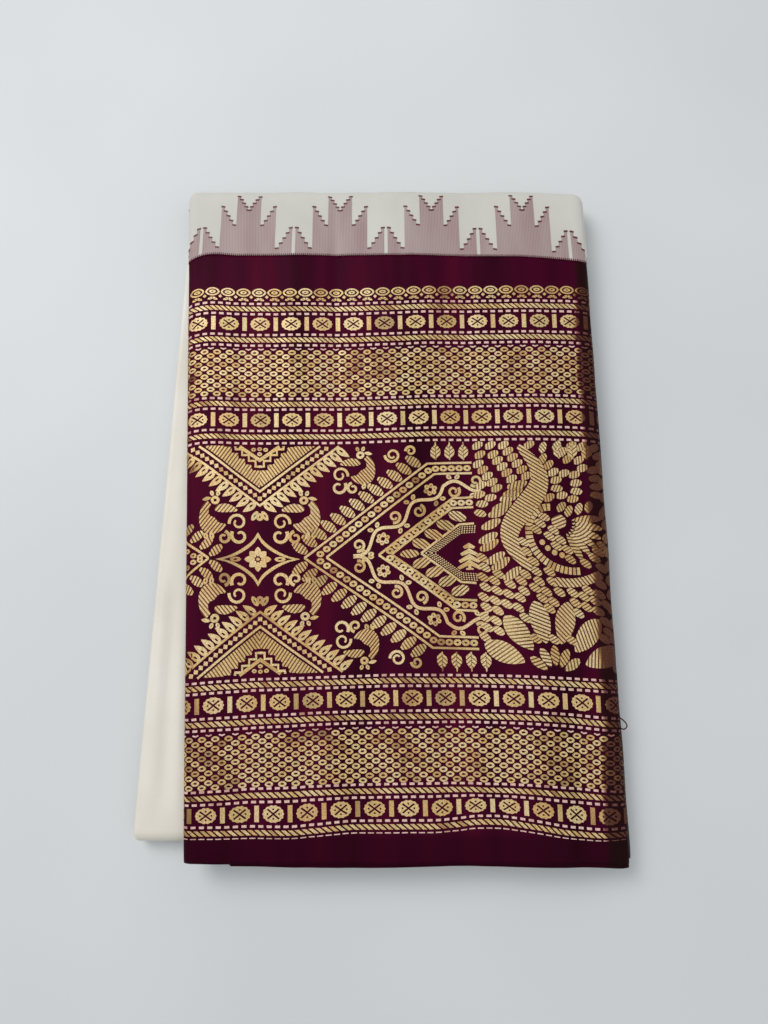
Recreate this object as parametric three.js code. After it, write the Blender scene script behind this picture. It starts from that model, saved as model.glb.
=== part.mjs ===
// A folded silk sari, lying flat. Units are millimetres, +Z is up, +Y runs from the hem to the top fold.
//
// The cloth was pleated along its length into a narrow strip of many plies, and that strip was folded
// in three like a letter. From the top down lie the front third, which ends in the brocade border and
// its hem, the tucked third, and the back third, which lies flat on the table. The top fold joins the
// front and back thirds, and the bottom fold joins the back and tucked thirds.
// The ply that shows on each stretch is a wall of its own. The plies under it share a rounded solid
// whose edges are layered.
import * as THREE from 'three';

// The cloth and how it is folded
const clothLength = 5500;
const pleatCount = 22;
const panelWidth = clothLength / pleatCount;
const hemY = -201.9;
const topY = 206.1;
const bottomFoldY = -193.4;
const joinY = 159.9;          // where the brocade border is woven on to the cream body
const joinGap = 0.3;

// Plies and stacks, measured through the thickness
const plyWall = 1.0;
const plyGap = 0.3;
const bodyCore = 5.5;
const borderCore = 5.7;
const bodyStack = bodyCore + plyGap + plyWall;
const borderStack = borderCore + 2 * (plyGap + plyWall) + 0.1;
const backToTucked = 1.0;     // space between the back third and the tucked third
const tuckedToFront = 0.4;    // space between the tucked third and the border

// Edges of the thirds. Each third leans a little, because the strip was folded slightly askew.
const frontLeft = { atHem: -112.1, atTop: -121.9 };
const frontRight = { atHem: 143.9, atTop: 127.8 };
const backLeft = { atHem: -143.9, atTop: -121.5 };
// How far the lower layers stand out past the ply above them, on the right
const borderLayersOut = { atHem: 5.0, atTop: 0.8 };
const bodyLayersOut = 1.2;

// The rounding of a stack's edges
const leftRound = 4.6;
const rightRound = 4.0;
const rightWrapLow = 0.38;    // the right fold ends at this share of the stack's thickness
const shoulderWidth = 14;
const shoulderDrop = { atHem: 3.2, atTop: 2.0 };

// Derived heights
const tuckedTop = 2 * bodyStack + backToTucked;
const frontBase = tuckedTop + tuckedToFront;
const frontTop = frontBase + borderStack;
const noseRadius = frontTop / 2;
const noseInner = noseRadius - bodyStack;
const noseY = topY - noseRadius;
const bottomRadius = tuckedTop / 2;
const bottomInner = backToTucked / 2;
const bottomY = bottomFoldY + bottomRadius;

// Soft swells that run up the front, between the creases. x is the middle of each one.
const swells = [
  { xAtHem: -88, xAtTop: -100, halfWidth: 30, atHem: 1.1, atTop: 0.5 },
  { xAtHem: -48, xAtTop: -54, halfWidth: 26, atHem: 1.5, atTop: 0.8 },
  { xAtHem: 12, xAtTop: 14, halfWidth: 42, atHem: 2.1, atTop: 1.1 },
  { xAtHem: 86, xAtTop: 84, halfWidth: 36, atHem: 1.9, atTop: 0.9 },
];

// How far each hidden layer stands in from, or out to, its edge. A row is one layer, from the inside of
// the fold outwards. The upper layers stay inside the ply that wraps them.
const borderLayerRows = [
  { right: 0.0, hem: 1.2 },
  { right: -1.1, hem: 0.2 },
  { right: -0.4, hem: 1.9 },
  { right: -19.5, hem: 0.7 },
  { right: -20.5, hem: 2.3 },
  { right: -20.0, hem: 1.4 },
];
const bodyLayerRows = [
  { right: -0.8, hem: 0.9 },
  { right: 0.0, hem: 0.1 },
  { right: -17.4, hem: 1.5 },
  { right: -18.6, hem: 0.6 },
  { right: -18.0, hem: 1.1 },
];
const grooveDepth = 0.8;

// Where the front third hangs past the thirds under it, it droops, and its hem runs out a little.
const overhangDroop = 3.0;
const hemDroop = 0.8;
const hemRunOut = 3.3;

const lerp = THREE.MathUtils.lerp;
const smoothstep = THREE.MathUtils.smoothstep;

function share(y) {
  return (y - hemY) / (topY - hemY);
}

function frontLeftAt(y) {
  return lerp(frontLeft.atHem, frontLeft.atTop, share(y));
}

function frontRightAt(y) {
  return lerp(frontRight.atHem, frontRight.atTop, share(y));
}

function backLeftAt(y) {
  return lerp(backLeft.atHem, backLeft.atTop, (y - bottomFoldY) / (topY - bottomFoldY));
}

function backRightAt(y) {
  return backLeftAt(y) + panelWidth;
}

// Height of the swells above the flat of a stack
function swellAt(x, y) {
  const s = share(y);
  let height = 0;
  for (const row of swells) {
    const away = Math.abs(x - lerp(row.xAtHem, row.xAtTop, s)) / row.halfWidth;
    if (away < 1) height += lerp(row.atHem, row.atTop, s) * Math.cos((away * Math.PI) / 2) ** 2;
  }
  return height;
}

// How far the front third hangs past the thirds under it on the right, from 0 to 1
function overhangAt(x, y) {
  const reach = 30;
  return THREE.MathUtils.clamp((x - backRightAt(y) - 2) / reach, 0, 1);
}

// The front third droops where it hangs past the thirds under it, at the right and at the hem.
function droopAt(x, y) {
  const atHem = THREE.MathUtils.clamp((bottomFoldY - y) / (bottomFoldY - hemY), 0, 1);
  return overhangDroop * overhangAt(x, y) ** 2 + hemDroop * atHem ** 2;
}

// Rounds the top of a ply down towards its right-hand fold.
function shoulderAt(x, right, drop) {
  return drop * smoothstep(x, right - shoulderWidth, right - rightRound);
}

function dropAt(y) {
  return lerp(shoulderDrop.atHem, shoulderDrop.atTop, share(y));
}

function borderPlyRightAt(y) {
  return frontRightAt(y) - lerp(borderLayersOut.atHem, borderLayersOut.atTop, share(y));
}

// Places across a ply, closer together over its shoulder
function columnsAcross(from, shoulder, to, columns) {
  const shoulderSteps = 4;
  const places = [];
  for (let i = 0; i < columns; i++) places.push(lerp(from, shoulder, i / columns));
  for (let i = 0; i <= shoulderSteps; i++) places.push(lerp(shoulder, to, i / shoulderSteps));
  return places;
}

// A ply as seen end on: its inner and outer line as [x, n] pairs, n being the height above the inner
// face of its stack. It wraps the whole left edge and part of the right edge.
function plySection({ left, right, stack, drop, columns, lift }) {
  const outer = [];
  const inner = [];
  const add = (cx, cn, rx, rn, angle) => {
    outer.push([cx + rx * Math.cos(angle), cn + rn * Math.sin(angle)]);
    inner.push([cx + (rx - plyWall) * Math.cos(angle), cn + (rn - plyWall) * Math.sin(angle)]);
  };
  const leftSteps = 6;
  for (let i = 0; i < leftSteps; i++) {
    const angle = lerp(1.45, 0.5, i / leftSteps) * Math.PI;
    add(left + leftRound, stack / 2, leftRound, stack / 2, angle);
  }
  const to = right - rightRound;
  for (const x of columnsAcross(left + leftRound, right - shoulderWidth, to, columns)) {
    const n = stack + lift(x) - shoulderAt(x, right, drop);
    outer.push([x, n]);
    inner.push([x, n - plyWall]);
  }
  const high = stack - drop;
  const low = stack * rightWrapLow;
  const rightSteps = 5;
  for (let i = 1; i <= rightSteps; i++) {
    const angle = lerp(0.5, -0.42, i / rightSteps) * Math.PI;
    add(to, (high + low) / 2, rightRound, (high - low) / 2, angle);
  }
  return [inner, outer];
}

// Hidden layers as seen end on, as a grid of [x, n]: a row for each level, with the layered edge last.
function layerSection({ left, right, core, rows }) {
  const shares = [0, 0.35, 0.62, 0.76, 0.84, 0.91, 0.96];
  const levels = [];
  const layer = core / rows.length;
  rows.forEach((row, k) => {
    const edge = right + row.right;
    const next = k + 1 < rows.length ? right + rows[k + 1].right : edge;
    if (k === 0) levels.push([edge - grooveDepth, 0]);
    levels.push([edge, (k + 0.28) * layer]);
    levels.push([edge, (k + 0.72) * layer]);
    levels.push([Math.min(edge, next) - grooveDepth, (k + 1) * layer]);
  });
  return levels.map(([edge, n]) => [...shares, 1].map((at) => [lerp(left, edge, at), n]));
}

// A closed solid through stations. Each station is a grid of points, rows from the inside outwards.
function loft(stations) {
  const rows = stations[0].length;
  const columns = stations[0][0].length;
  const rim = [];
  for (let c = 0; c < columns; c++) rim.push([0, c]);
  for (let r = 1; r < rows; r++) rim.push([r, columns - 1]);
  for (let c = columns - 2; c >= 0; c--) rim.push([rows - 1, c]);
  for (let r = rows - 2; r > 0; r--) rim.push([r, 0]);

  const positions = [];
  const faces = [];
  const quad = (a, b, c, d) => faces.push(a, b, c, a, c, d);
  const ids = stations.map((grid, s) => {
    const isEnd = s === 0 || s === stations.length - 1;
    return grid.map((row, r) => row.map((point, c) => {
      const onRim = r === 0 || r === rows - 1 || c === 0 || c === columns - 1;
      if (!isEnd && !onRim) return -1;
      positions.push(point.x, point.y, point.z);
      return positions.length / 3 - 1;
    }));
  });
  for (let s = 0; s + 1 < stations.length; s++) {
    rim.forEach(([r, c], i) => {
      const [nextR, nextC] = rim[(i + 1) % rim.length];
      quad(ids[s][r][c], ids[s][nextR][nextC], ids[s + 1][nextR][nextC], ids[s + 1][r][c]);
    });
  }
  const first = ids[0];
  const last = ids[ids.length - 1];
  for (let r = 0; r + 1 < rows; r++) {
    for (let c = 0; c + 1 < columns; c++) {
      quad(first[r][c], first[r + 1][c], first[r + 1][c + 1], first[r][c + 1]);
      quad(last[r][c], last[r][c + 1], last[r + 1][c + 1], last[r + 1][c]);
    }
  }
  const geometry = new THREE.BufferGeometry();
  geometry.setAttribute('position', new THREE.Float32BufferAttribute(positions, 3));
  geometry.setIndex(volumeOf(positions, faces) < 0 ? faces.reverse() : faces);
  geometry.computeVertexNormals();
  return geometry;
}

function volumeOf(positions, faces) {
  const at = (k) => new THREE.Vector3().fromArray(positions, 3 * k);
  let sum = 0;
  for (let i = 0; i < faces.length; i += 3) {
    sum += at(faces[i]).dot(at(faces[i + 1]).cross(at(faces[i + 2])));
  }
  return sum / 6;
}

// A station of the front third, whose stack stands on frontBase. setBack moves a row of points along Y.
function frontStation(section, y, setBack = () => 0) {
  const runOut = hemRunOut * Math.max(0, 1 - (y - hemY) / (bottomFoldY - hemY));
  return section.map((row, level) => row.map(([x, n]) => (
    new THREE.Vector3(
      x,
      y + setBack(level) - runOut * overhangAt(x, y) ** 2,
      frontBase + n - droopAt(x, y),
    )
  )));
}

// The letter fold of the cream body: a point on the inner face of its stack, the way out of the stack,
// and that stretch's left and right edge.
function foldPoint(y, z, outY, outZ, left, right) {
  return { y, z, outY, outZ, left, right };
}

function frontStretch(steps) {
  const points = [];
  for (let i = 0; i <= steps; i++) {
    const y = lerp(joinY + joinGap, noseY, i / steps);
    points.push(foldPoint(y, frontTop - bodyStack, 0, 1, frontLeftAt(y), frontRightAt(y)));
  }
  return points;
}

function topFold(steps) {
  const points = [];
  for (let i = 1; i < steps; i++) {
    const s = i / steps;
    const angle = (0.5 - s) * Math.PI;
    const outY = Math.cos(angle);
    const outZ = Math.sin(angle);
    const y = noseY + noseInner * outY;
    const left = lerp(frontLeftAt(y), backLeftAt(y), s);
    const right = lerp(frontRightAt(y), backRightAt(y), s);
    points.push(foldPoint(y, noseRadius + noseInner * outZ, outY, outZ, left, right));
  }
  return points;
}

function backStretch(fromY, toY, steps) {
  const points = [];
  for (let i = 0; i <= steps; i++) {
    const y = lerp(fromY, toY, i / steps);
    points.push(foldPoint(y, bodyStack, 0, -1, backLeftAt(y), backRightAt(y)));
  }
  return points;
}

function bottomFold(steps) {
  const points = [];
  for (let i = 1; i < steps; i++) {
    const angle = (-0.5 - i / steps) * Math.PI;
    const outY = Math.cos(angle);
    const outZ = Math.sin(angle);
    const y = bottomY + bottomInner * outY;
    points.push(foldPoint(y, bottomRadius + bottomInner * outZ, outY, outZ, backLeftAt(y), backRightAt(y)));
  }
  return points;
}

function tuckedStretch(fromY, toY, steps) {
  const points = [];
  for (let i = 0; i <= steps; i++) {
    const y = lerp(fromY, toY, i / steps);
    points.push(foldPoint(y, bodyStack + backToTucked, 0, 1, backLeftAt(y), backRightAt(y)));
  }
  return points;
}

function foldStation(point, section) {
  return section.map((row) => row.map(([x, n]) => (
    new THREE.Vector3(x, point.y + n * point.outY, point.z + n * point.outZ)
  )));
}

// The outer cream ply along part of the letter fold
function bodyPly(points, columns, liftAt = () => 0) {
  return loft(points.map((point) => foldStation(point, plySection({
    left: point.left,
    right: point.right - bodyLayersOut,
    stack: bodyStack,
    drop: shoulderDrop.atTop,
    columns,
    lift: (x) => liftAt(x, point),
  }))));
}

// Stations of the border, from the hem past the bottom fold under it to the join
function borderRows(startY, steps) {
  const rows = [startY];
  for (let i = 0; i <= steps; i++) rows.push(lerp(bottomFoldY + 1, joinY, i / steps));
  return rows;
}

const bodyEndY = noseY - 3;
const splitY = 178;

function borderFront() {
  return loft(borderRows(hemY, 18).map((y) => {
    const section = plySection({
      left: frontLeftAt(y),
      right: borderPlyRightAt(y),
      stack: borderStack,
      drop: dropAt(y),
      columns: 30,
      lift: (x) => swellAt(x, y),
    });
    return frontStation(section, y);
  }));
}

// The next ply lies under the front one, and its hem shows below it from secondLeft to the right edge.
function borderSecond() {
  const secondLeft = -90;
  const high = borderStack - plyWall - plyGap;
  return loft(borderRows(hemY - 2, 9).map((y) => {
    const right = borderPlyRightAt(y);
    const outer = [];
    const inner = [];
    for (const x of columnsAcross(secondLeft, right - shoulderWidth, right - 1.6 * rightRound, 15)) {
      const n = high + 0.6 * swellAt(x, y) - shoulderAt(x, right, dropAt(y));
      outer.push([x, n]);
      inner.push([x, n - plyWall]);
    }
    return frontStation([inner, outer], y);
  }));
}

function borderLayers() {
  return loft(borderRows(hemY, 9).map((y, i) => {
    const section = layerSection({
      left: frontLeftAt(y) + leftRound + 0.6,
      right: frontRightAt(y),
      core: borderCore,
      rows: borderLayerRows,
    });
    const setBack = (level) => {
      if (i > 0) return 0;
      const row = borderLayerRows[Math.min(Math.floor(level / 3), borderLayerRows.length - 1)];
      return row.hem + (level % 3 === 0 ? grooveDepth : 0);
    };
    return frontStation(section, y, setBack);
  }));
}

function templeFold() {
  const points = [...frontStretch(4), ...topFold(11), ...backStretch(noseY, splitY, 1)];
  return bodyPly(points, 28, (x, point) => swellAt(x, point.y) * Math.max(point.outZ, 0));
}

function undersideBody() {
  const points = [...backStretch(splitY - joinGap, bottomY, 7), ...bottomFold(8)];
  return bodyPly(points, 8);
}

// The wedge of the tucked third that shows at the left has one long soft ridge, clear of the border.
function tuckedBody() {
  const ridge = { inFromLeft: 15, halfWidth: 12, height: 0.9, fromY: -190, toY: -42 };
  const ridgeAt = (x, point) => {
    const away = Math.abs(x - point.left - ridge.inFromLeft) / ridge.halfWidth;
    const along = (point.y - ridge.fromY) / (ridge.toY - ridge.fromY);
    if (away >= 1 || along <= 0 || along >= 1) return 0;
    return ridge.height * Math.cos((away * Math.PI) / 2) ** 2 * Math.sin(along * Math.PI);
  };
  return bodyPly(tuckedStretch(bottomY, bodyEndY, 12), 18, ridgeAt);
}

function bodyLayers() {
  const points = [
    ...frontStretch(3),
    ...topFold(10),
    ...backStretch(noseY, bottomY, 9),
    ...bottomFold(6),
    ...tuckedStretch(bottomY, bodyEndY, 9),
  ];
  return loft(points.map((point) => foldStation(point, layerSection({
    left: point.left + leftRound + 0.6,
    right: point.right,
    core: bodyCore,
    rows: bodyLayerRows,
  }))));
}

const materials = {
  brocade: new THREE.MeshStandardMaterial({ color: 0x6b2a35, roughness: 0.42, metalness: 0.25 }),
  maroonSilk: new THREE.MeshStandardMaterial({ color: 0x3d0a1f, roughness: 0.45, metalness: 0 }),
  creamSilk: new THREE.MeshStandardMaterial({ color: 0xe2dfd4, roughness: 0.5, metalness: 0 }),
};

const pieces = [
  { name: 'border_front', make: borderFront, material: materials.brocade },
  { name: 'border_second', make: borderSecond, material: materials.maroonSilk },
  { name: 'border_layers', make: borderLayers, material: materials.maroonSilk },
  { name: 'temple_fold', make: templeFold, material: materials.creamSilk },
  { name: 'underside_body', make: undersideBody, material: materials.creamSilk },
  { name: 'tucked_body', make: tuckedBody, material: materials.creamSilk },
  { name: 'body_layers', make: bodyLayers, material: materials.creamSilk },
];

const sari = new THREE.Group();
for (const { name, make, material } of pieces) {
  const mesh = new THREE.Mesh(make(), material);
  mesh.name = name;
  sari.add(mesh);
}

export default sari;
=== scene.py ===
import math

import bpy
import numpy as np
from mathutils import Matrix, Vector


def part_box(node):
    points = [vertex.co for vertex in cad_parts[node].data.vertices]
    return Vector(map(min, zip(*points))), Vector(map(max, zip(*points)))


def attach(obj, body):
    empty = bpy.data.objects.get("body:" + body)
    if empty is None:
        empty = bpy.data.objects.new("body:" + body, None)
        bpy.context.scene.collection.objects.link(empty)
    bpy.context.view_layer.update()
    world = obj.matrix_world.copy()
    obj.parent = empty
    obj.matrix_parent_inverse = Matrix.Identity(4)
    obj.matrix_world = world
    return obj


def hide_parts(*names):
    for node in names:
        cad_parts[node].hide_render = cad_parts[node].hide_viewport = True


# A folded silk sari: cream body, maroon border woven with gold zari.
# Sizes are in millimetres, and meshes are written in metres.
# Cloth places are (u, t): u runs across the border from its left edge,
# t runs along the cloth from the woven join, up towards the top fold.

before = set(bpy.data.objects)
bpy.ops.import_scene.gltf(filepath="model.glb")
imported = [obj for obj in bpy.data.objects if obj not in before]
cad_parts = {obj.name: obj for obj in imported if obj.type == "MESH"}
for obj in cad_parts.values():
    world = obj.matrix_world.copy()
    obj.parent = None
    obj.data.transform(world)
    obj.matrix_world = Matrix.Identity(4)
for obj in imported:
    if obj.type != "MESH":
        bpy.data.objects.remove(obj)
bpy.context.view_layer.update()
scene = bpy.context.scene
mm = 0.001
bandScale = 3.1831      # a wave texture's scale, times this, is its bands to a metre
threadDepth = 0.03

# The folded shape

bundle = {
    "topY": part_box("temple_fold")[1].y / mm,
    "joinY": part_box("border_front")[1].y / mm,
    "bottomY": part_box("underside_body")[0].y / mm,
    "hemY": -201.9,
    "panel": 250.0,
    "frontLeft": (-112.1, -121.9),      # at the hem, at the top fold
    "frontRight": (143.9, 127.8),
    "backLeft": (-143.9, -121.5),
    "borderLayersOut": (1.3, 0.7),      # how far the lower plies stand out on the right
    "bodyLayersOut": 1.2,
    "bodyStack": 6.8,
    "borderStack": 8.4,
    "frontTop": 23.4,
    "tuckedTop": 14.6,
    "leftRound": 4.6,
    "tuckedRound": 3.0,
    "rightRoll": (11.5, 6.5),           # how wide the roll at the right is, at the hem and at the top
    "wrapLow": 0.38,
    "shoulder": 30.0,
    "shoulderDrop": (1.3, 0.7),
    "overhangDroop": 3.0,
    "hemDroop": 0.8,
    "hemRunOut": 1.8,
    "plyEdge": 0.45,                    # thickness of a ply's edge as it shows
    "layersInset": 5.4,                 # how far inside the left edge the hidden plies start
    "layersGap": (0.06, 0.08),          # left free below and above each hidden ply
}
noseRadius = bundle["frontTop"] / 2
noseY = bundle["topY"] - noseRadius
foldRadius = bundle["tuckedTop"] / 2
foldY = bundle["bottomY"] + foldRadius
joinY = bundle["joinY"]
hemT = bundle["hemY"] - joinY

# Swells and creases that run up the front. u is the middle at the hem, lean moves it by the top fold.
swells = [
    {"u": 24, "lean": -2, "half": 30, "hem": 1.1, "top": 0.5},
    {"u": 64, "lean": 4, "half": 26, "hem": 1.5, "top": 0.8},
    {"u": 124, "lean": 12, "half": 42, "hem": 2.1, "top": 1.1},
    {"u": 198, "lean": 8, "half": 36, "hem": 1.9, "top": 0.9},
]
creases = [
    {"u": 71, "lean": 12, "half": 9, "hem": -1.2, "top": -0.35, "from": -364, "to": -230},
    {"u": 88, "lean": 5, "half": 7, "hem": 0.5, "top": 0.1, "from": -364, "to": -200},
    {"u": 92, "lean": 0, "half": 5, "hem": 0.1, "top": -0.5, "from": -120, "to": 30},
    {"u": 128, "lean": 6, "half": 6, "hem": 0.1, "top": -0.45, "from": -100, "to": 24},
    {"u": 152, "lean": 4, "half": 8, "hem": -0.7, "top": -0.3, "from": -364, "to": -262},
    {"u": 172, "lean": 8, "half": 10, "hem": 0.8, "top": 0.1, "from": -364, "to": -290},
    {"u": 170, "lean": 3, "half": 6, "hem": 0.1, "top": -0.4, "from": -90, "to": 34},
    {"u": 226, "lean": 8, "half": 8, "hem": -0.6, "top": -0.2, "from": -364, "to": -300},
    {"u": 36, "lean": 22, "half": 11, "hem": -1.1, "top": -0.5, "from": -330, "to": -250},
    {"u": 44, "lean": 14, "half": 11, "hem": -0.3, "top": -0.35, "from": -120, "to": -20},
]


def mix(a, b, s):
    return a + (b - a) * s


def smooth(x, low, high):
    s = np.clip((x - low) / (high - low), 0.0, 1.0)
    return s * s * (3.0 - 2.0 * s)


def share(y):
    return (y - bundle["hemY"]) / (bundle["topY"] - bundle["hemY"])


def frontLeft(y):
    return mix(*bundle["frontLeft"], share(y))


def frontRight(y):
    return mix(*bundle["frontRight"], share(y))


def frontPlyRight(y):
    return frontRight(y) - mix(*bundle["borderLayersOut"], share(y))


def backLeft(y):
    return mix(*bundle["backLeft"], (y - bundle["bottomY"]) / (bundle["topY"] - bundle["bottomY"]))


def backRight(y):
    return backLeft(y) + bundle["panel"]


def hump(away):
    return np.where(np.abs(away) < 1, np.cos(np.clip(away, -1, 1) * math.pi / 2) ** 2, 0.0)


def ridges(rows, u, t):
    # The height of swells or creases. Those with ends fade out past them.
    s = np.clip((t - hemT) / (bundle["topY"] - bundle["hemY"]), 0, 1)
    height = 0.0
    for row in rows:
        ends = 1.0
        if "from" in row:
            ends = smooth(t, row["from"] - 30, row["from"]) * (1 - smooth(t, row["to"], row["to"] + 40))
        away = (u - row["u"] - row["lean"] * s) / row["half"]
        height = height + ends * mix(row["hem"], row["top"], s) * hump(away)
    return height


def swellAt(u, t):
    return ridges(swells, u, t)


def creaseAt(u, t):
    ripple = 0.10 * np.sin(u * 0.19 + t * 0.021) + 0.07 * np.sin(u * 0.37 - t * 0.034 + 1.3)
    return (ridges(creases, u, t) + ripple) * smooth(u, 3, 14) * (1 - smooth(u, 228, 240))


def overhang(x, y):
    return np.clip((x - backRight(y) - 2) / 30, 0, 1)


def plySection(u, left, right, stack, share01, relief, roundL):
    # Where a point of the outer ply lies, seen end on: x, and n above the stack's inner face.
    width = right - left
    roll = mix(*bundle["rightRoll"], share01)
    drop = mix(*bundle["shoulderDrop"], share01)
    flatEnd = width - roll
    x = left + u
    n = stack + relief - drop * smooth(u, flatEnd - bundle["shoulder"], flatEnd)
    turn = np.clip((roundL - u) / (0.5 * (roundL + stack / 2)), 0, 2.85)
    onLeft = turn > 0
    x = np.where(onLeft, left + roundL - roundL * np.sin(turn), x)
    n = np.where(onLeft, stack / 2 * (1 + np.cos(turn)), n)
    # on the right the cloth rolls over and down, further across than it is high
    high, low = stack - drop, stack * bundle["wrapLow"]
    rise = high - low
    turnR = np.clip((u - flatEnd) / (0.62 * roll + 0.38 * rise), 0, 2.0)
    onRight = turnR > 0
    x = np.where(onRight, right - roll + roll * np.sin(turnR), x)
    n = np.where(onRight, low + rise * np.cos(turnR) + relief * np.maximum(np.cos(turnR), 0), n)
    return x, n


def frontSurface(u, t):
    # The top ply: flat from the hem to the top fold, then round it and under.
    over = np.maximum(joinY + t - noseY, 0)
    angle = np.clip(over / noseRadius, 0, math.pi)
    behind = np.maximum(over - math.pi * noseRadius, 0)
    y = np.minimum(joinY + t, noseY) - behind
    turned = angle / math.pi
    left = mix(frontLeft(y), backLeft(y), turned)
    right = mix(frontPlyRight(y), backRight(y) - bundle["bodyLayersOut"], turned)
    stack = mix(bundle["borderStack"], bundle["bodyStack"], smooth(t, -14, 0))
    relief = (swellAt(u, t) + creaseAt(u, t)) * np.maximum(np.cos(angle), 0)
    x, n = plySection(u, left, right, stack, share(y), relief, bundle["leftRound"])
    inner = noseRadius - stack
    yFlat = y
    y = y + (inner + n) * np.sin(angle)
    z = noseRadius + (inner + n) * np.cos(angle)
    pastFold = np.clip((bundle["bottomY"] - yFlat) / (bundle["bottomY"] - bundle["hemY"]), 0, 1.3)
    hang = overhang(x, yFlat)
    z = z - bundle["overhangDroop"] * hang ** 2 - bundle["hemDroop"] * np.minimum(pastFold, 1) ** 2
    y = y - bundle["hemRunOut"] * pastFold * hang ** 2
    return x, y, z


tuckedCreases = [  # u is the place at the bottom fold, lean moves it by the end of the crease
    {"u": 7, "lean": 3, "half": 6, "depth": 0.5, "from": -190, "to": 40},
    {"u": 17, "lean": -7, "half": 6, "depth": -1.6, "from": -176, "to": -40},
    {"u": 25, "lean": -6, "half": 5, "depth": 0.7, "from": -192, "to": -90},
    {"u": 31, "lean": -9, "half": 7, "depth": -1.3, "from": -150, "to": 30},
    {"u": 12, "lean": 0, "half": 4, "depth": -0.25, "from": -192, "to": -168},
    {"u": 22, "lean": 1, "half": 3, "depth": -0.3, "from": -192, "to": -172},
]


def tuckedRelief(u, y):
    # Long soft hollows between ridges on the wedge that shows at the left.
    height = 0.0
    for row in tuckedCreases:
        s = np.clip((y - row["from"]) / (row["to"] - row["from"]), 0, 1)
        ends = smooth(y, row["from"] - 6, row["from"] + 25) * (1 - smooth(y, row["to"] - 30, row["to"] + 20))
        height = height + ends * row["depth"] * hump((u - row["u"] - row["lean"] * s) / row["half"])
    return height + 0.12 * np.sin(y * 0.05 + u * 0.11)


def backSurface(u, s):
    # The back third's outer ply: s is 0 where the bottom fold starts, negative under the bundle.
    angle = np.clip(s / foldRadius, 0, math.pi)
    before = np.maximum(-s, 0)
    after = np.maximum(s - math.pi * foldRadius, 0)
    y = foldY + before + after
    relief = np.where(after > 0, tuckedRelief(u, y), 0.0) + 0.0 * u
    x, n = plySection(u, backLeft(y), backRight(y) - bundle["bodyLayersOut"],
                      bundle["bodyStack"], 1.0, relief, bundle["tuckedRound"])
    inner = foldRadius - bundle["bodyStack"]
    return x, y - (inner + n) * np.sin(angle), foldRadius - (inner + n) * np.cos(angle)


# How far the woven rows wander up or down from straight, at places across the cloth.
wander = {
    "across": [0, 6, 34, 66, 95, 124, 150, 172, 202, 218, 240, 250],
    "rise": {
        40: [0.0] * 12,
        0: [-4.6, -1.6, -0.5, -0.3, -0.3, -0.3, -0.4, -0.7, -1.3, -1.8, -3.2, -4.4],
        -24: [-2.5, -0.8, -0.6, -0.6, -0.5, 0.0, 1.0, 1.2, 1.3, 1.4, 1.4, 0.4],
        -105: [-2.2, -1.0, -0.9, -0.9, -0.6, 0.0, 1.0, 1.2, 1.5, 1.6, 1.2, 0.2],
        -188: [-2.0, -1.4, -1.0, -1.1, -0.1, 1.2, 2.1, 2.2, 1.9, 1.5, 0.4, -0.8],
        -258: [-4.4, -3.8, -1.7, -0.6, 0.4, 1.4, 1.2, 1.0, 0.3, -0.6, -2.1, -3.0],
        -285: [-5.0, -4.5, -2.9, -1.1, 0.1, 0.8, 0.9, 0.8, -0.2, -1.4, -4.0, -5.0],
        -318: [-5.4, -5.0, -3.2, -1.8, -0.6, 0.3, 0.4, 0.2, -0.8, -2.2, -4.6, -5.6],
        -341: [-4.4, -4.2, -3.6, -3.2, -0.5, 0.2, 0.4, 2.7, -0.5, -3.5, -5.9, -5.9],
        -362: [0.0] * 12,
    },
    "stretch": 3.4,     # how far the motifs near the right edge slide outwards, at most
}


def softCurve(x, knots, values):
    # Eased steps between knots, so that the rows bend without corners.
    knots, values = np.asarray(knots, float), np.asarray(values, float)
    slopes = np.gradient(values, knots)
    i = np.clip(np.searchsorted(knots, x) - 1, 0, len(knots) - 2)
    span = knots[i + 1] - knots[i]
    s = np.clip((x - knots[i]) / span, 0, 1)
    a, b = values[i], values[i + 1]
    return (a * (1 + 2 * s) * (1 - s) ** 2 + b * s * s * (3 - 2 * s)
            + span * s * (1 - s) * (slopes[i] * (1 - s) - slopes[i + 1] * s))


def waveAt(u, t):
    levels = sorted(wander["rise"])
    rows = [softCurve(u, wander["across"], wander["rise"][level]) for level in levels]
    rise = 0.0 * u
    for low, high, rowLow, rowHigh in zip(levels, levels[1:], rows, rows[1:]):
        s = smooth(t, low, high)
        rise = np.where((t >= low) & (t <= high), mix(rowLow, rowHigh, s), rise)
    return rise


def slideAt(u, t):
    row = np.interp(t, [-330, -300, -272, -240, -130], [0.0, 0.2, 1.0, 0.5, 0.0])
    return 0.5 + wander["stretch"] * smooth(u, 150, 246) * row - 0.5 * smooth(u, 150, 240)


def wovenSurface(u, t):
    return frontSurface(u + slideAt(u, t), t + waveAt(u, t))


def surfaceNormal(surface, a, b):
    e = 0.05
    du = np.stack(surface(a + e, b), -1) - np.stack(surface(a - e, b), -1)
    dt = np.stack(surface(a, b + e), -1) - np.stack(surface(a, b - e), -1)
    normal = np.cross(du, dt)
    return normal / (np.linalg.norm(normal, axis=-1, keepdims=True) + 1e-12)


# Mesh helpers

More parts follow.
